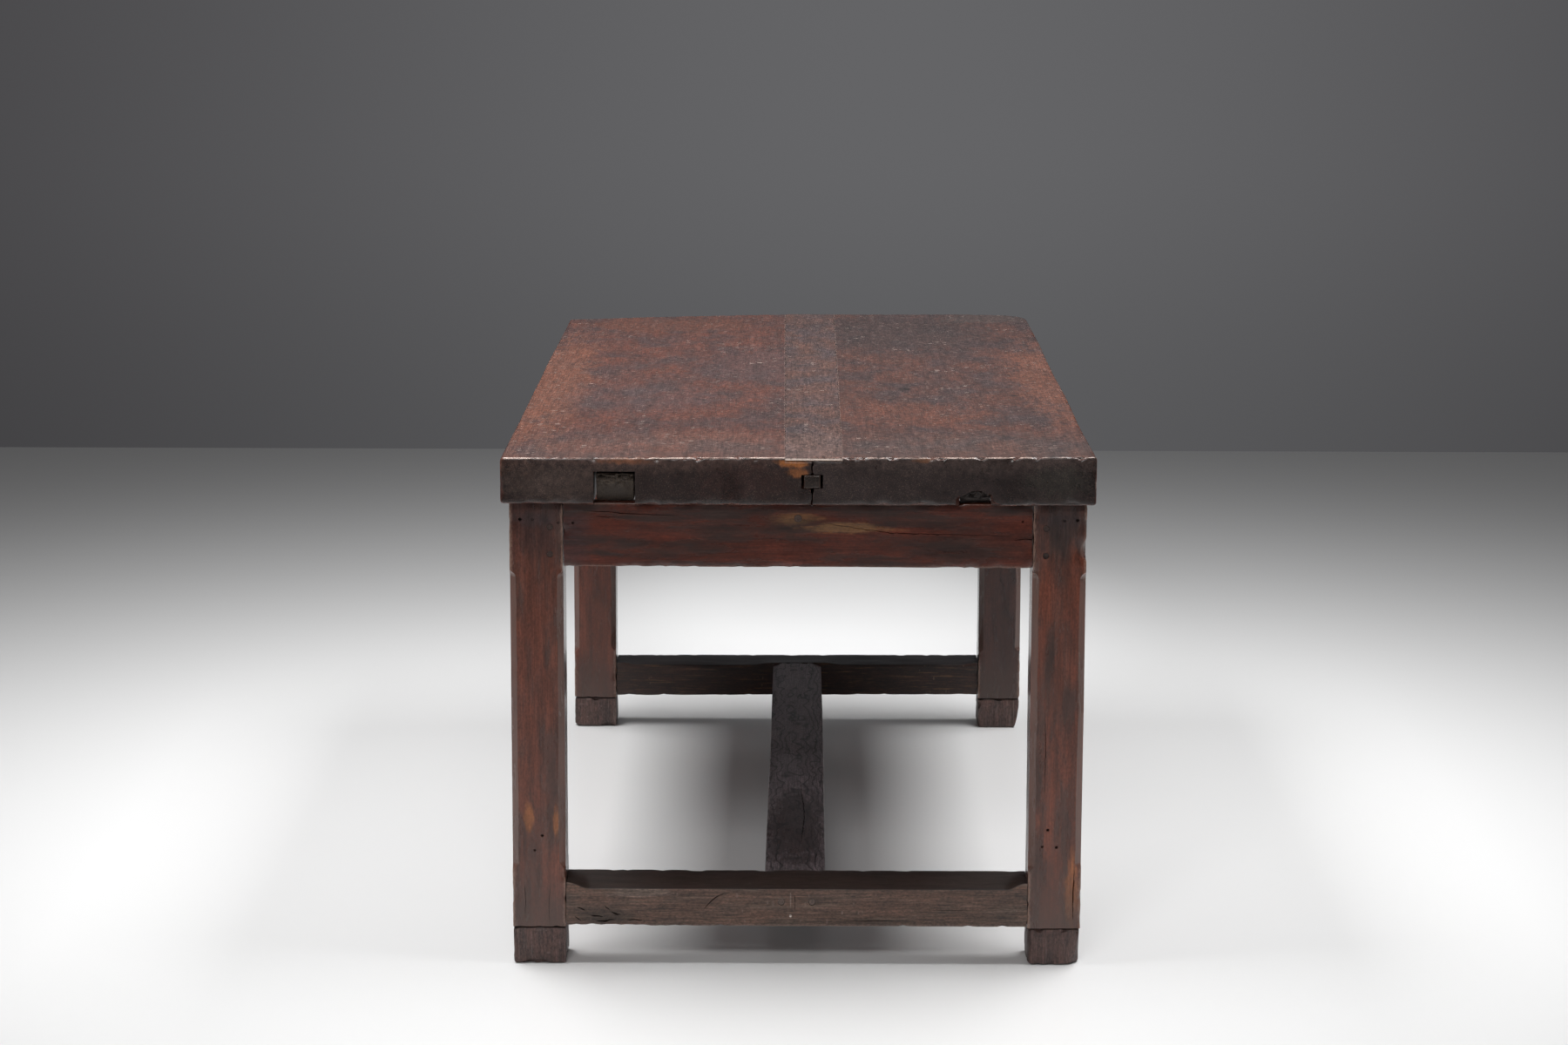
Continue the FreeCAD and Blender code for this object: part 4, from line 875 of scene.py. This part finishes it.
def leg(end, side):
    """One leg: four chamfered edges, peg holes in its two outer faces, nail holes, splits and knocks."""
    name = "leg_" + end + "_" + side
    low, high = corners_of(name)
    seed = 60 + LEGS.index((end, side))
    outer = -1 if side == "left" else 1
    nearer = -1 if end == "front" else 1
    # rings lie closer together where the chamfers end
    places = []
    for start, stop, step in ((low[2], 0.1301, 0.006), (0.1325, 0.156, 0.0014), (0.160, 0.572, 0.009),
                              (0.5755, 0.5925, 0.0011), (0.597, high[2] - 0.003, 0.007)):
        places += list(np.arange(start, stop, step))
    corners = [np.array(corner) for corner in (
        (low[0], low[1]), (high[0], low[1]), (high[0], high[1]), (low[0], high[1]))]
    rings = []
    for place in places + [high[2]]:
        section = []
        for k, here in enumerate(corners):
            wide = chamfer(place, k, seed)
            for other in (corners[k - 1], corners[(k + 1) % 4]):
                section.append(here + np.sign(other - here) * wide)
        flat = outline(section, [0] * 8, [2, 12] * 4)
        rings.append(np.column_stack([flat, np.full(len(flat), place)]))
    rings = np.array(rings)
    points = weathered(rings.reshape(-1, 3), low, high, chips=2.4, chip_size=(11, 11, 15), reach=3,
                       sway=0.7, sway_size=(110, 110, 260), seed=seed)
    if (end, side) == ("front", "right"):
        # a piece has been torn off its outer edge under the apron
        torn = np.exp(-((points[:, 0] - high[0]) / 0.010) ** 2 - ((points[:, 1] - low[1]) / 0.012) ** 2)
        torn *= steps(points[:, 2], 0.604, 0.612) * (1 - steps(points[:, 2], 0.628, 0.636))
        points[:, 0] -= torn * 5 * MM
        points[:, 1] += torn * 4 * MM
    piece = lofted(name + "_worn", [points.reshape(rings.shape)])

    inward = (0, -nearer, 0)
    face = low[1] if end == "front" else high[1]
    middle = (low[1] + high[1]) / 2
    holes = []
    for level in (LOWER_PEG, UPPER_PEG):
        on_side = (outer * SIDE_FACE, middle - nearer * PEG_BACK, level)
        holes += [bore((outer * PEG_X, face, level), inward, 9.6, 4.5, narrow=0.97),
                  bore(on_side, (-outer, 0, 0), 9.6, 4.5, narrow=0.97)]
    cut_out(piece, holes + nailed(nail_holes.get((end, side), []), face, inward))
    cut_out(piece, split(leg_splits.get((end, side), []), face, inward, seed))
    # scraped smooth down the grain and waxed: a satin red-brown with long fibres and fine drying cracks,
    # greyer on the chamfers, where a sheen is painted, and darker near the floor; on the two near legs
    # shade is painted under the top
    look = old_oak("scraped_oak_" + name, "Z", (outer * 377 + 30, middle / MM + 75, 0), leg_tones[end, side],
                   3.5, rings=0.08, mottle=0.95, patch_size=(24, 110), smear=0.3, streaks=0.28, checks=0.4,
                   contrast=0.32, rough=0.24, relief=0.12, painted_bevel_sheen="#6f5a53", seed=seed,
                   stains_and_painted_light=leg_stains_and_shade.get((end, side), []), worn=0.75, flare=(0.05, 0.17, "#4a3a34"))
    # its two ends meet the top and the foot, and take no wear
    finished(piece, name, look, low - (0, 0, 1), high + (0, 0, 1), reach=3.5)


def foot(end, side):
    """A later foot spliced under a leg, knocked round at its floor edge."""
    name = "foot_" + end + "_" + side
    low, high = corners_of(name)
    seed = 80 + LEGS.index((end, side))

    def knocked(points):
        points = points.copy()
        rise = points[:, 2] / high[2]
        if (end, side) == ("front", "right"):
            outer = np.exp(-((points[:, 0] - high[0]) / 0.012) ** 2 - ((points[:, 1] - low[1]) / 0.012) ** 2)
            points[:, 0] -= outer * (1 - rise) * 9 * MM
            points[:, 1] += outer * (1 - rise) * 9 * MM
            inner = np.exp(-((points[:, 0] - low[0]) / 0.008) ** 2 - ((points[:, 1] - low[1]) / 0.01) ** 2)
            points[:, 0] += inner * 4 * MM
        if (end, side) == ("rear", "right"):
            outer = steps(points[:, 0], high[0] - 0.012, high[0])
            points[:, 0] -= 9 * MM * (1 - rise).clip(0, 1) ** 2 * outer
        return points

    piece = timber(name + "_worn", low, high - np.array((0, 0, 0.4 * MM)), 2, 3.5, 4, rounding=5,
                   shape=knocked, chips=4.5, chip_size=(14, 14, 12), reach=5, sway=1.2,
                   sway_size=(40, 40, 40), seed=seed)
    # scuffed by shoes, brooms and wet floors: dull and patchy, with dry streaks and pale nicks
    look = old_oak("scuffed_oak_" + name, "Z", (390, 40, 0), foot_tones, 4.0, contrast=0.6, streaks=0.35,
                   mottle=0.9, patch_size=(14, 40), checks=0.5, dry=("#8d7f77", 0.35), seed=seed, worn=0.6,
                   specks=0.5, rough=0.55)
    finished(piece, name, look, low, high + (0, 0, 1))


def end_aprons():
    """The rails across the two ends, under the top; the near one has split and held nails."""
    for end, facing in (("front", -1), ("rear", 1)):
        name = "end_apron_" + end
        low, high = corners_of(name)
        low[0], high[0] = -INNER, INNER
        face = low[1] if end == "front" else high[1]
        piece = timber(name + "_worn", low, high, 0, 1.6, 5, rounding=0.4, chips=2.0, reach=3, sway=0.9,
                       sway_size=(180, 40, 60), seed=90 + facing)
        holes = [bore((0, face, BEARER_PEG_LEVEL), (0, -facing, 0), 11.8, 4, narrow=0.97)]
        if end == "front":
            cut_out(piece, holes + nailed(apron_nail_holes, face, (0, 1, 0)))
            cut_out(piece, split(apron_splits, face, (0, 1, 0), 5))
        else:
            cut_out(piece, holes)
        # scraped and waxed like the legs: a deeper red-brown than theirs, with long soft streaks, and at
        # the near end bare ochre wood round the bearer's peg
        look = old_oak("scraped_oak_" + name, "X", (0, facing * 790, 420), apron_tones, 4.0, rings=0.08,
                       mottle=1.0, patch_size=(22, 130), smear=0.35, streaks=0.3, checks=0.55, contrast=0.32,
                       rough=0.26, relief=0.12, seed=91, stains_and_painted_light=apron_stains if end == "front" else [],
                       worn=0.4)
        finished(piece, name, look, low - (1, 0, 0), high + (1, 0, 0))


def side_aprons():
    """The rails along the two sides, under the top."""
    for side in ("left", "right"):
        name = "side_apron_" + side
        low, high = corners_of(name)
        low[1], high[1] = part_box("leg_front_left")[1].y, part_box("leg_rear_left")[0].y
        piece = timber(name + "_worn", low, high, 1, 1.6, 7, rounding=0.4, chips=2.0, reach=3, sway=1.0,
                       sway_size=(60, 260, 60), seed=93)
        # hewn and only roughly scraped: the wax lies over stronger streaks and more drying cracks
        look = old_oak("hewn_oak_" + name, "Y", (0, 0, 420), apron_tones, 4.0, rings=0.08, mottle=1.0,
                       patch_size=(22, 130), smear=0.4, streaks=0.4, checks=0.6, contrast=0.36, relief=0.12,
                       seed=95, worn=0.4)
        finished(piece, name, look, low - (0, 1, 0), high + (0, 1, 0))


def centre_bearer():
    """The bearer under the seam."""
    low, high = corners_of("centre_bearer")
    piece = timber("centre_bearer_worn", low, high, 1, 2, 9, rounding=0.4, chips=2.0, sway=0.9, seed=97)
    # sawn and left raw where nobody looks: dull, without wax
    look = old_oak("sawn_oak_centre_bearer", "Y", (-60, 0, 560), under_tones, 5.0, rough=0.8, seed=96,
                   worn=0.2)
    finished(piece, "centre_bearer", look, low, high)


def end_stretchers():
    """The low rails across the two ends, their tops trodden hollow on both sides of the bar."""
    for end, facing in (("front", -1), ("rear", 1)):
        name = "end_stretcher_" + end
        low, high = corners_of(name)
        low[0], high[0] = -INNER, INNER
        face = low[1] if end == "front" else high[1]

        def sagging(points):
            x = np.abs(points[:, 0])
            top = steps(points[:, 2], low[2] + 0.030, high[2])
            under = 1 - steps(points[:, 2], low[2], low[2] + 0.030)
            # from 0 at the inner face to 1 at the outer one; feet have worn the near rail down at its outer
            # arris, and the far rail at its inner one
            outward = ((points[:, 1] - low[1]) / (high[1] - low[1])).clip(0, 1)
            outward = 1 - outward if end == "front" else outward
            across = 0.5 + points[:, 0] / (2 * INNER)
            if end == "front":
                ends = 1 - steps(x, INNER - 0.030, INNER - 0.006)
                worn = (0.1 + 0.5 * waves(points, (110, 60, 300), 71)) * top
                worn += 9.5 * ends * top * outward ** 1.6
                ragged = under * 0.3 * waves(points, (60, 40, 300), 72)
                eaten = 1 - steps(points[:, 0], -0.270, -0.235)
                ragged += under * 2.5 * eaten * waves(points, (9, 9, 300), 73)
            else:
                free = steps(x, 0.050, 0.085) * (1 - steps(x, INNER - 0.035, INNER - 0.012))
                worn = (0.4 + 1.2 * waves(points, (110, 60, 300), 71) + 2.2 * (1 - across)) * top
                worn += 4.0 * free * top * (1 - outward) ** 2
                ragged = under * (0.2 + 1.2 * waves(points, (24, 40, 300), 72) + 3.8 * across)
            points = points.copy()
            points[:, 2] += (ragged - worn) * MM
            return points

        piece = timber(name + "_worn", low, high, 0, 1.8, 4.5, rounding=0.4, shape=sagging, chips=1.8,
                       chip_size=(16, 10, 9), reach=4, sway=0.3, sway_size=(90, 60, 40), seed=100 + facing)
        cut_out(piece, [bore((x, face, BAR_PEG_LEVEL), (0, -facing, 0), 11.0, 5, narrow=0.97)
                        for x in (-BAR_PEG_X, BAR_PEG_X)])
        if end == "front":
            cut_out(piece, split(stretcher_splits, face, (0, 1, 0), 8))
        # worn by shoes and wet mops: open dry grain with bare streaks, and dark where it is trodden on top
        look = old_oak("worn_oak_" + name, "X", (0, facing * 720, -60), stretcher_tones[end], 4.5, rings=0.3,
                       mottle=0.9, patch_size=(16, 60), smear=0.3, contrast=0.6, checks=0.6, seed=102,
                       rough=0.5 if end == "front" else 0.4, specks=0.4,
                       stains_and_painted_light=stretcher_stains if end == "front" else [], worn=0.4, dry=dry_streaks[end],
                       trodden="#221815" if end == "front" else "#231d1d")
        finished(piece, name, look, low - (1, 0, 0), high + (1, 0, 0))


def long_stretcher():
    """The bar between the end stretchers, sunk and rounded where feet rest on it, and split on top."""
    low, high = corners_of("long_stretcher")

    def weathered_bar(points):
        points = points.copy()
        x, y, z = points.T
        far = steps(y, -0.70, high[1])
        worn = (1.2 + 2.6 * waves(points, (60, 190, 300), 81)) * steps(z, low[2], high[2])
        points[:, 2] -= worn * MM
        # it has shifted to the left at its near end
        points[:, 0] -= 2.4 * MM * (1 - steps(y, -0.75, 0.3))
        corner = np.exp(-((np.abs(x) - high[0]) / 0.012) ** 2) * steps(z, 0.09, high[2])
        points[:, 2] -= corner * (far * 3 + 3.5 * np.exp(-((y - high[1]) / 0.030) ** 2)) * MM
        return points

    piece = timber("long_stretcher_worn", low, high, 1, 3.5, 3.2, rounding=0.4, shape=weathered_bar,
                   chips=2.2, chip_size=(10, 24, 10), reach=4, sway=0.5, sway_size=(30, 160, 30), seed=105)
    cracks = [crack([(x * MM, y * MM, high[2] + 0.5 * MM) for x, y in path], (0, 0, -1), wide, deep, 6)
              for path, wide, deep in bar_splits]
    cut_out(piece, cracks)
    # never waxed, and washed with the floor: slate grey, painted paler as a painted sheen of the bright floor
    # it mirrors under the table, its year rings drawn dark like contour lines
    look = old_oak("weathered_oak_long_stretcher", "Y", (6, 0, 52), bar_tones_with_painted_sheen, 5.2, rings=0.95, line=0.34,
                   bend=(34, 80, 22), rough=0.42, contrast=0.6, checks=0.6, seed=106, mottle=0.8, worn=0.3,
                   stains_and_painted_light=bar_stains)
    finished(piece, "long_stretcher", look, low, high)


def whittled_pegs(name, places, radius, long, material):
    """Eight-sided pegs driven in at each place along its own way, made by Geometry Nodes."""
    tree = bpy.data.node_groups.new(name + "_tree", "GeometryNodeTree")
    tree.interface.new_socket("Geometry", in_out="INPUT", socket_type="NodeSocketGeometry")
    sizes = {"Radius": radius * MM, "Length": long * MM, "Worn head": 0.7 * MM}
    for label in sizes:
        tree.interface.new_socket(label, in_out="INPUT", socket_type="NodeSocketFloat")
    tree.interface.new_socket("Geometry", in_out="OUTPUT", socket_type="NodeSocketGeometry")
    given = add(tree, "NodeGroupInput").outputs
    half = add(tree, "ShaderNodeMath", {"operation": "MULTIPLY", 0: given["Length"], 1: 0.5})
    stick = add(tree, "GeometryNodeMeshCylinder", {
        "fill_type": "TRIANGLE_FAN", "Vertices": 8, "Side Segments": 12, "Fill Segments": 3,
        "Radius": given["Radius"], "Depth": given["Length"]})
    # the head sits at the origin with the peg below it
    down = add(tree, "ShaderNodeMath", {"operation": "MULTIPLY", 0: half, 1: -1.0})
    down = add(tree, "ShaderNodeCombineXYZ", {"Z": down})
    hung = add(tree, "GeometryNodeSetPosition", {"Geometry": stick, "Offset": down})
    way = add(tree, "GeometryNodeInputNamedAttribute", {"data_type": "FLOAT_VECTOR", "Name": "way"})
    turn = add(tree, "FunctionNodeAlignRotationToVector", {"axis": "Z", "Vector": way})
    driven = add(tree, "GeometryNodeInstanceOnPoints", {
        "Points": given["Geometry"], "Instance": hung, "Rotation": turn})
    loose = add(tree, "GeometryNodeRealizeInstances", {"Geometry": driven})
    # the knife has left dents about 4 mm apart
    spot = add(tree, "GeometryNodeInputPosition")
    spot = add(tree, "ShaderNodeVectorMath", {"operation": "SCALE", 0: spot, "Scale": 230.0})
    knock = add(tree, "ShaderNodeTexNoise", {"Vector": spot, "Scale": 1.0, "Detail": 1.0})
    moved = add(tree, "ShaderNodeVectorMath", {
        "operation": "SUBTRACT", 0: knock.outputs["Color"], 1: (0.5, 0.5, 0.5)})
    moved = add(tree, "ShaderNodeVectorMath", {"operation": "SCALE", "Scale": given["Worn head"], 0: moved})
    uneven = add(tree, "GeometryNodeSetPosition", {"Geometry": loose, "Offset": moved})
    dressed = add(tree, "GeometryNodeSetMaterial", {"Geometry": uneven, "Material": material})
    add(tree, "NodeGroupOutput", {"Geometry": dressed})

    mesh = bpy.data.meshes.new(name)
    mesh.from_pydata([tuple(place) for place, way in places], [], [])
    mesh.attributes.new("way", "FLOAT_VECTOR", "POINT").data.foreach_set(
        "vector", [value for place, way in places for value in way])
    piece = bpy.data.objects.new(name, mesh)
    bpy.context.scene.collection.objects.link(piece)
    modifier = piece.modifiers.new("pegs", "NODES")
    modifier.node_group = tree
    for socket in tree.interface.items_tree:
        if socket.in_out == "INPUT" and socket.name in sizes:
            modifier[socket.identifier] = sizes[socket.name]
    return settled(piece)


def pegs():
    """The pegs of the aprons, the stretchers and the bearer, their heads sunk a little into the wood."""
    in_aprons, in_bar, in_bearer = [], [], []
    for end, facing in (("front", -1), ("rear", 1)):
        low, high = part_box("end_apron_" + end)
        face = low.y if facing < 0 else high.y
        leg_low, leg_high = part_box("leg_" + end + "_left")
        middle = (leg_low.y + leg_high.y) / 2
        for outer in (-1, 1):
            # the lower pegs on the right have sunk in deepest
            for level, sunk in ((UPPER_PEG, 0.7), (LOWER_PEG, 1.1 if outer < 0 else 2.6)):
                in_aprons.append(((outer * PEG_X, face - facing * sunk * MM, level), (0, facing, 0)))
                on_side = (outer * (SIDE_FACE - 0.8 * MM), middle - facing * PEG_BACK, level)
                in_aprons.append((on_side, (outer, 0, 0)))
            in_bar.append(((outer * BAR_PEG_X, face - facing * MM, BAR_PEG_LEVEL), (0, facing, 0)))
        in_bearer.append(((0, face - facing * 0.5 * MM, BEARER_PEG_LEVEL), (0, facing, 0)))
    # their radius and length in mm
    for name, radius, long, places in (("apron_pegs", 4.5, 44, in_aprons), ("stretcher_pegs", 5, 130, in_bar),
                                       ("bearer_pegs", 5.5, 88, in_bearer)):
        low, high = corners_of(name)
        # split along the grain and whittled to eight sides: small flat facets that each catch the light on
        # their own, and a dark gap round the head, because the hole is a little wide
        look = old_oak("riven_oak_" + name, "Y", (0, 0, 40), peg_tones[name], 2.0, rings=0.3, seed=41,
                       worn=0.4)
        piece = whittled_pegs(name + "_whittled", places, radius, long, look)
        finished(piece, name, look, low, high, reach=0.5)


def dowels():
    """The hidden dowels keep the shape of their solids and get their own wood."""
    # turned on a lathe and driven in with glue: round and even in tone, with no wear
    look = old_oak("turned_oak_dowels", "Z", (0, 40, 0), peg_tones["dowels"], 2.0, rings=0.3, seed=43,
                   worn=0.2)
    for node in ("top_dowels", "foot_dowels"):
        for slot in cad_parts[node].material_slots:
            slot.material = look


# the room

def soft_spot(tree, place, middle, shrink, full, amount=1.0):
    """How strong a soft round spot is: amount up to full from its middle, and fading to nothing at 1."""
    gone = add(tree, "ShaderNodeVectorMath", {"operation": "SUBTRACT", 0: place, 1: middle})
    gone = add(tree, "ShaderNodeVectorMath", {"operation": "MULTIPLY", 0: gone, 1: shrink})
    gone = add(tree, "ShaderNodeVectorMath", {"operation": "LENGTH", 0: gone}).outputs["Value"]
    return add(tree, "ShaderNodeMapRange", {
        "interpolation_type": "SMOOTHSTEP", "Value": gone, "From Min": 1.0, "From Max": full,
        "To Max": amount})


def looked_at(tree):
    """1 where a surface is seen, straight or as a reflection, and 0 where it only lights others."""
    path = add(tree, "ShaderNodeLightPath").outputs
    mirrored = add(tree, "ShaderNodeMath", {
        "operation": "MAXIMUM", 0: path["Is Glossy Ray"], 1: path["Is Transmission Ray"]})
    return add(tree, "ShaderNodeMath", {"operation": "MAXIMUM", 0: path["Is Camera Ray"], 1: mirrored})


def pale_floor():
    """A pale floor that ends a few steps behind the table."""
    aside, behind = 14, 4.0
    mesh = bpy.data.meshes.new("floor")
    mesh.from_pydata([(-aside, -aside, 0), (aside, -aside, 0), (aside, behind, 0), (-aside, behind, 0)],
                     [], [(0, 1, 2, 3)])
    floor = bpy.data.objects.new("floor", mesh)
    bpy.context.scene.collection.objects.link(floor)
    # smooth boards rolled with paint and scrubbed since: an even, pale skin with a dull sheen, in which the
    # feet and legs are mirrored softly
    material = bpy.data.materials.new("painted_board_floor")
    material.use_nodes = True
    tree = material.node_tree
    tree.nodes.clear()
    place = add(tree, "ShaderNodeTexCoord").outputs["Object"]
    # painted shade: the floor darkens away from a spot in front of the table, for the falloff of the light
    reach = add(tree, "ShaderNodeVectorMath", {"operation": "DISTANCE", 0: place, 1: (0, -1.46, 0)})
    back = add(tree, "ShaderNodeMapRange", {
        "interpolation_type": "SMOOTHSTEP", "Value": reach.outputs["Value"], "From Min": 4.1,
        "From Max": 7.0})
    # a pool of light painted paler onto the boards behind the table
    patch = soft_spot(tree, place, (0, 2.1, 0), (1.7, 0.75, 0), 0.35)
    # the floor turns dark grey a few steps in front of the table
    across = add(tree, "ShaderNodeSeparateXYZ", {"Vector": place}).outputs["Y"]
    front = add(tree, "ShaderNodeMapRange", {
        "interpolation_type": "SMOOTHSTEP", "Value": across, "From Min": -2.8, "From Max": -4.8})
    colour = linear("#ededed")
    for share, shade in ((back, "#b2b1b1"), (patch, "#fbfbfb"), (front, "#616060")):
        colour = add(tree, "ShaderNodeMix", {
            "data_type": "RGBA", 0: share, 6: colour, 7: linear(shade)}).outputs[2]
    shader = add(tree, "ShaderNodeBsdfPrincipled", {"Base Color": colour, "Roughness": 0.24, "IOR": 1.45})
    # a painted glow: behind the table the floor gives off light of its own, as seen and as mirrored
    painted_glow = soft_spot(tree, place, (0.1, 1.75, 0), (1.3, 0.85, 0), 0.3, 0.17)
    painted_glow = add(tree, "ShaderNodeMath", {"operation": "MULTIPLY", 0: looked_at(tree), 1: painted_glow})
    glow = add(tree, "ShaderNodeEmission", {"Color": linear("#ffffff"), "Strength": painted_glow})
    both = add(tree, "ShaderNodeAddShader", {0: shader, 1: glow})
    add(tree, "ShaderNodeOutputMaterial", {"Surface": both})
    mesh.materials.append(material)


def grey_backdrop():
    """A grey backdrop, lighter behind the table, and a little soft light from all round."""
    world = bpy.data.worlds.new("studio")
    bpy.context.scene.world = world
    world.use_nodes = True
    tree = world.node_tree
    tree.nodes.clear()
    seen = looked_at(tree)
    way = add(tree, "ShaderNodeTexCoord").outputs["Generated"]
    way = add(tree, "ShaderNodeSeparateXYZ", {"Vector": way})
    aside = add(tree, "ShaderNodeMath", {"operation": "SUBTRACT", 0: way, 1: 0.031})
    aside = add(tree, "ShaderNodeMath", {"operation": "ABSOLUTE", 0: aside})
    pool = add(tree, "ShaderNodeMapRange", {
        "interpolation_type": "SMOOTHSTEP", "Value": aside, "From Min": 0.32, "From Max": 0.0})
    grey = add(tree, "ShaderNodeMix", {
        "data_type": "RGBA", 0: pool, 6: linear("#464547"), 7: linear("#646466")})
    # it is a little darker low down
    height = add(tree, "ShaderNodeMapRange", {
        "interpolation_type": "SMOOTHSTEP", "Value": way.outputs["Z"], "From Min": -0.16,
        "From Max": -0.07, "To Min": 0.8})
    light = add(tree, "ShaderNodeBackground", {"Color": linear("#ffffff"), "Strength": 0.16})
    backdrop = add(tree, "ShaderNodeBackground", {"Color": grey.outputs[2], "Strength": height})
    mixed = add(tree, "ShaderNodeMixShader", {0: seen, 1: light, 2: backdrop})
    add(tree, "ShaderNodeOutputWorld", {"Surface": mixed})


def lamps():
    """Two long soft lamps above the sides of the table, and one in front of it."""
    # where each hangs, what it points at, its size in metres, its power in watts and its spread in degrees
    for name, spot, aim, size, power, spread in (
            ("lamp_left", (-1.2, 0.0, 3.0), (-0.5, 0.0, 0), (2.6, 0.8), 31.5, 95),
            ("lamp_right", (1.2, 0.0, 3.0), (0.5, 0.0, 0), (2.6, 0.8), 31, 95),
            ("lamp_front", (-0.5, -3.9, 2.7), (0, -0.9, 0.1), (1.4, 0.7), 46, 180)):
        lamp = bpy.data.lights.new(name, "AREA")
        lamp.shape = "RECTANGLE"
        lamp.size, lamp.size_y = size
        lamp.energy = power
        lamp.spread = math.radians(spread)
        holder = bpy.data.objects.new(name, lamp)
        holder.location = spot
        holder.rotation_euler = (Vector(aim) - Vector(spot)).to_track_quat("-Z", "Y").to_euler()
        bpy.context.scene.collection.objects.link(holder)


def fitted_camera():
    """The camera, fitted to the edges measured on the photograph."""
    scene = bpy.context.scene
    camera = bpy.data.cameras.new("camera")
    camera.sensor_width = 36
    camera.lens = 84.48
    holder = bpy.data.objects.new("camera", camera)
    holder.location = (-0.0027, -6.037, 1.5912)
    holder.rotation_euler = [math.radians(turn) for turn in (79.8592, -0.1611, 0.2213)]
    scene.collection.objects.link(holder)
    scene.camera = holder
    scene.view_settings.view_transform = "Standard"


top_planks()
seam_strip()
seam_tongue()
runner_stubs()
for end, side in LEGS:
    leg(end, side)
    foot(end, side)
end_aprons()
side_aprons()
centre_bearer()
end_stretchers()
long_stretcher()
pegs()
dowels()
pale_floor()
grey_backdrop()
lamps()
fitted_camera()
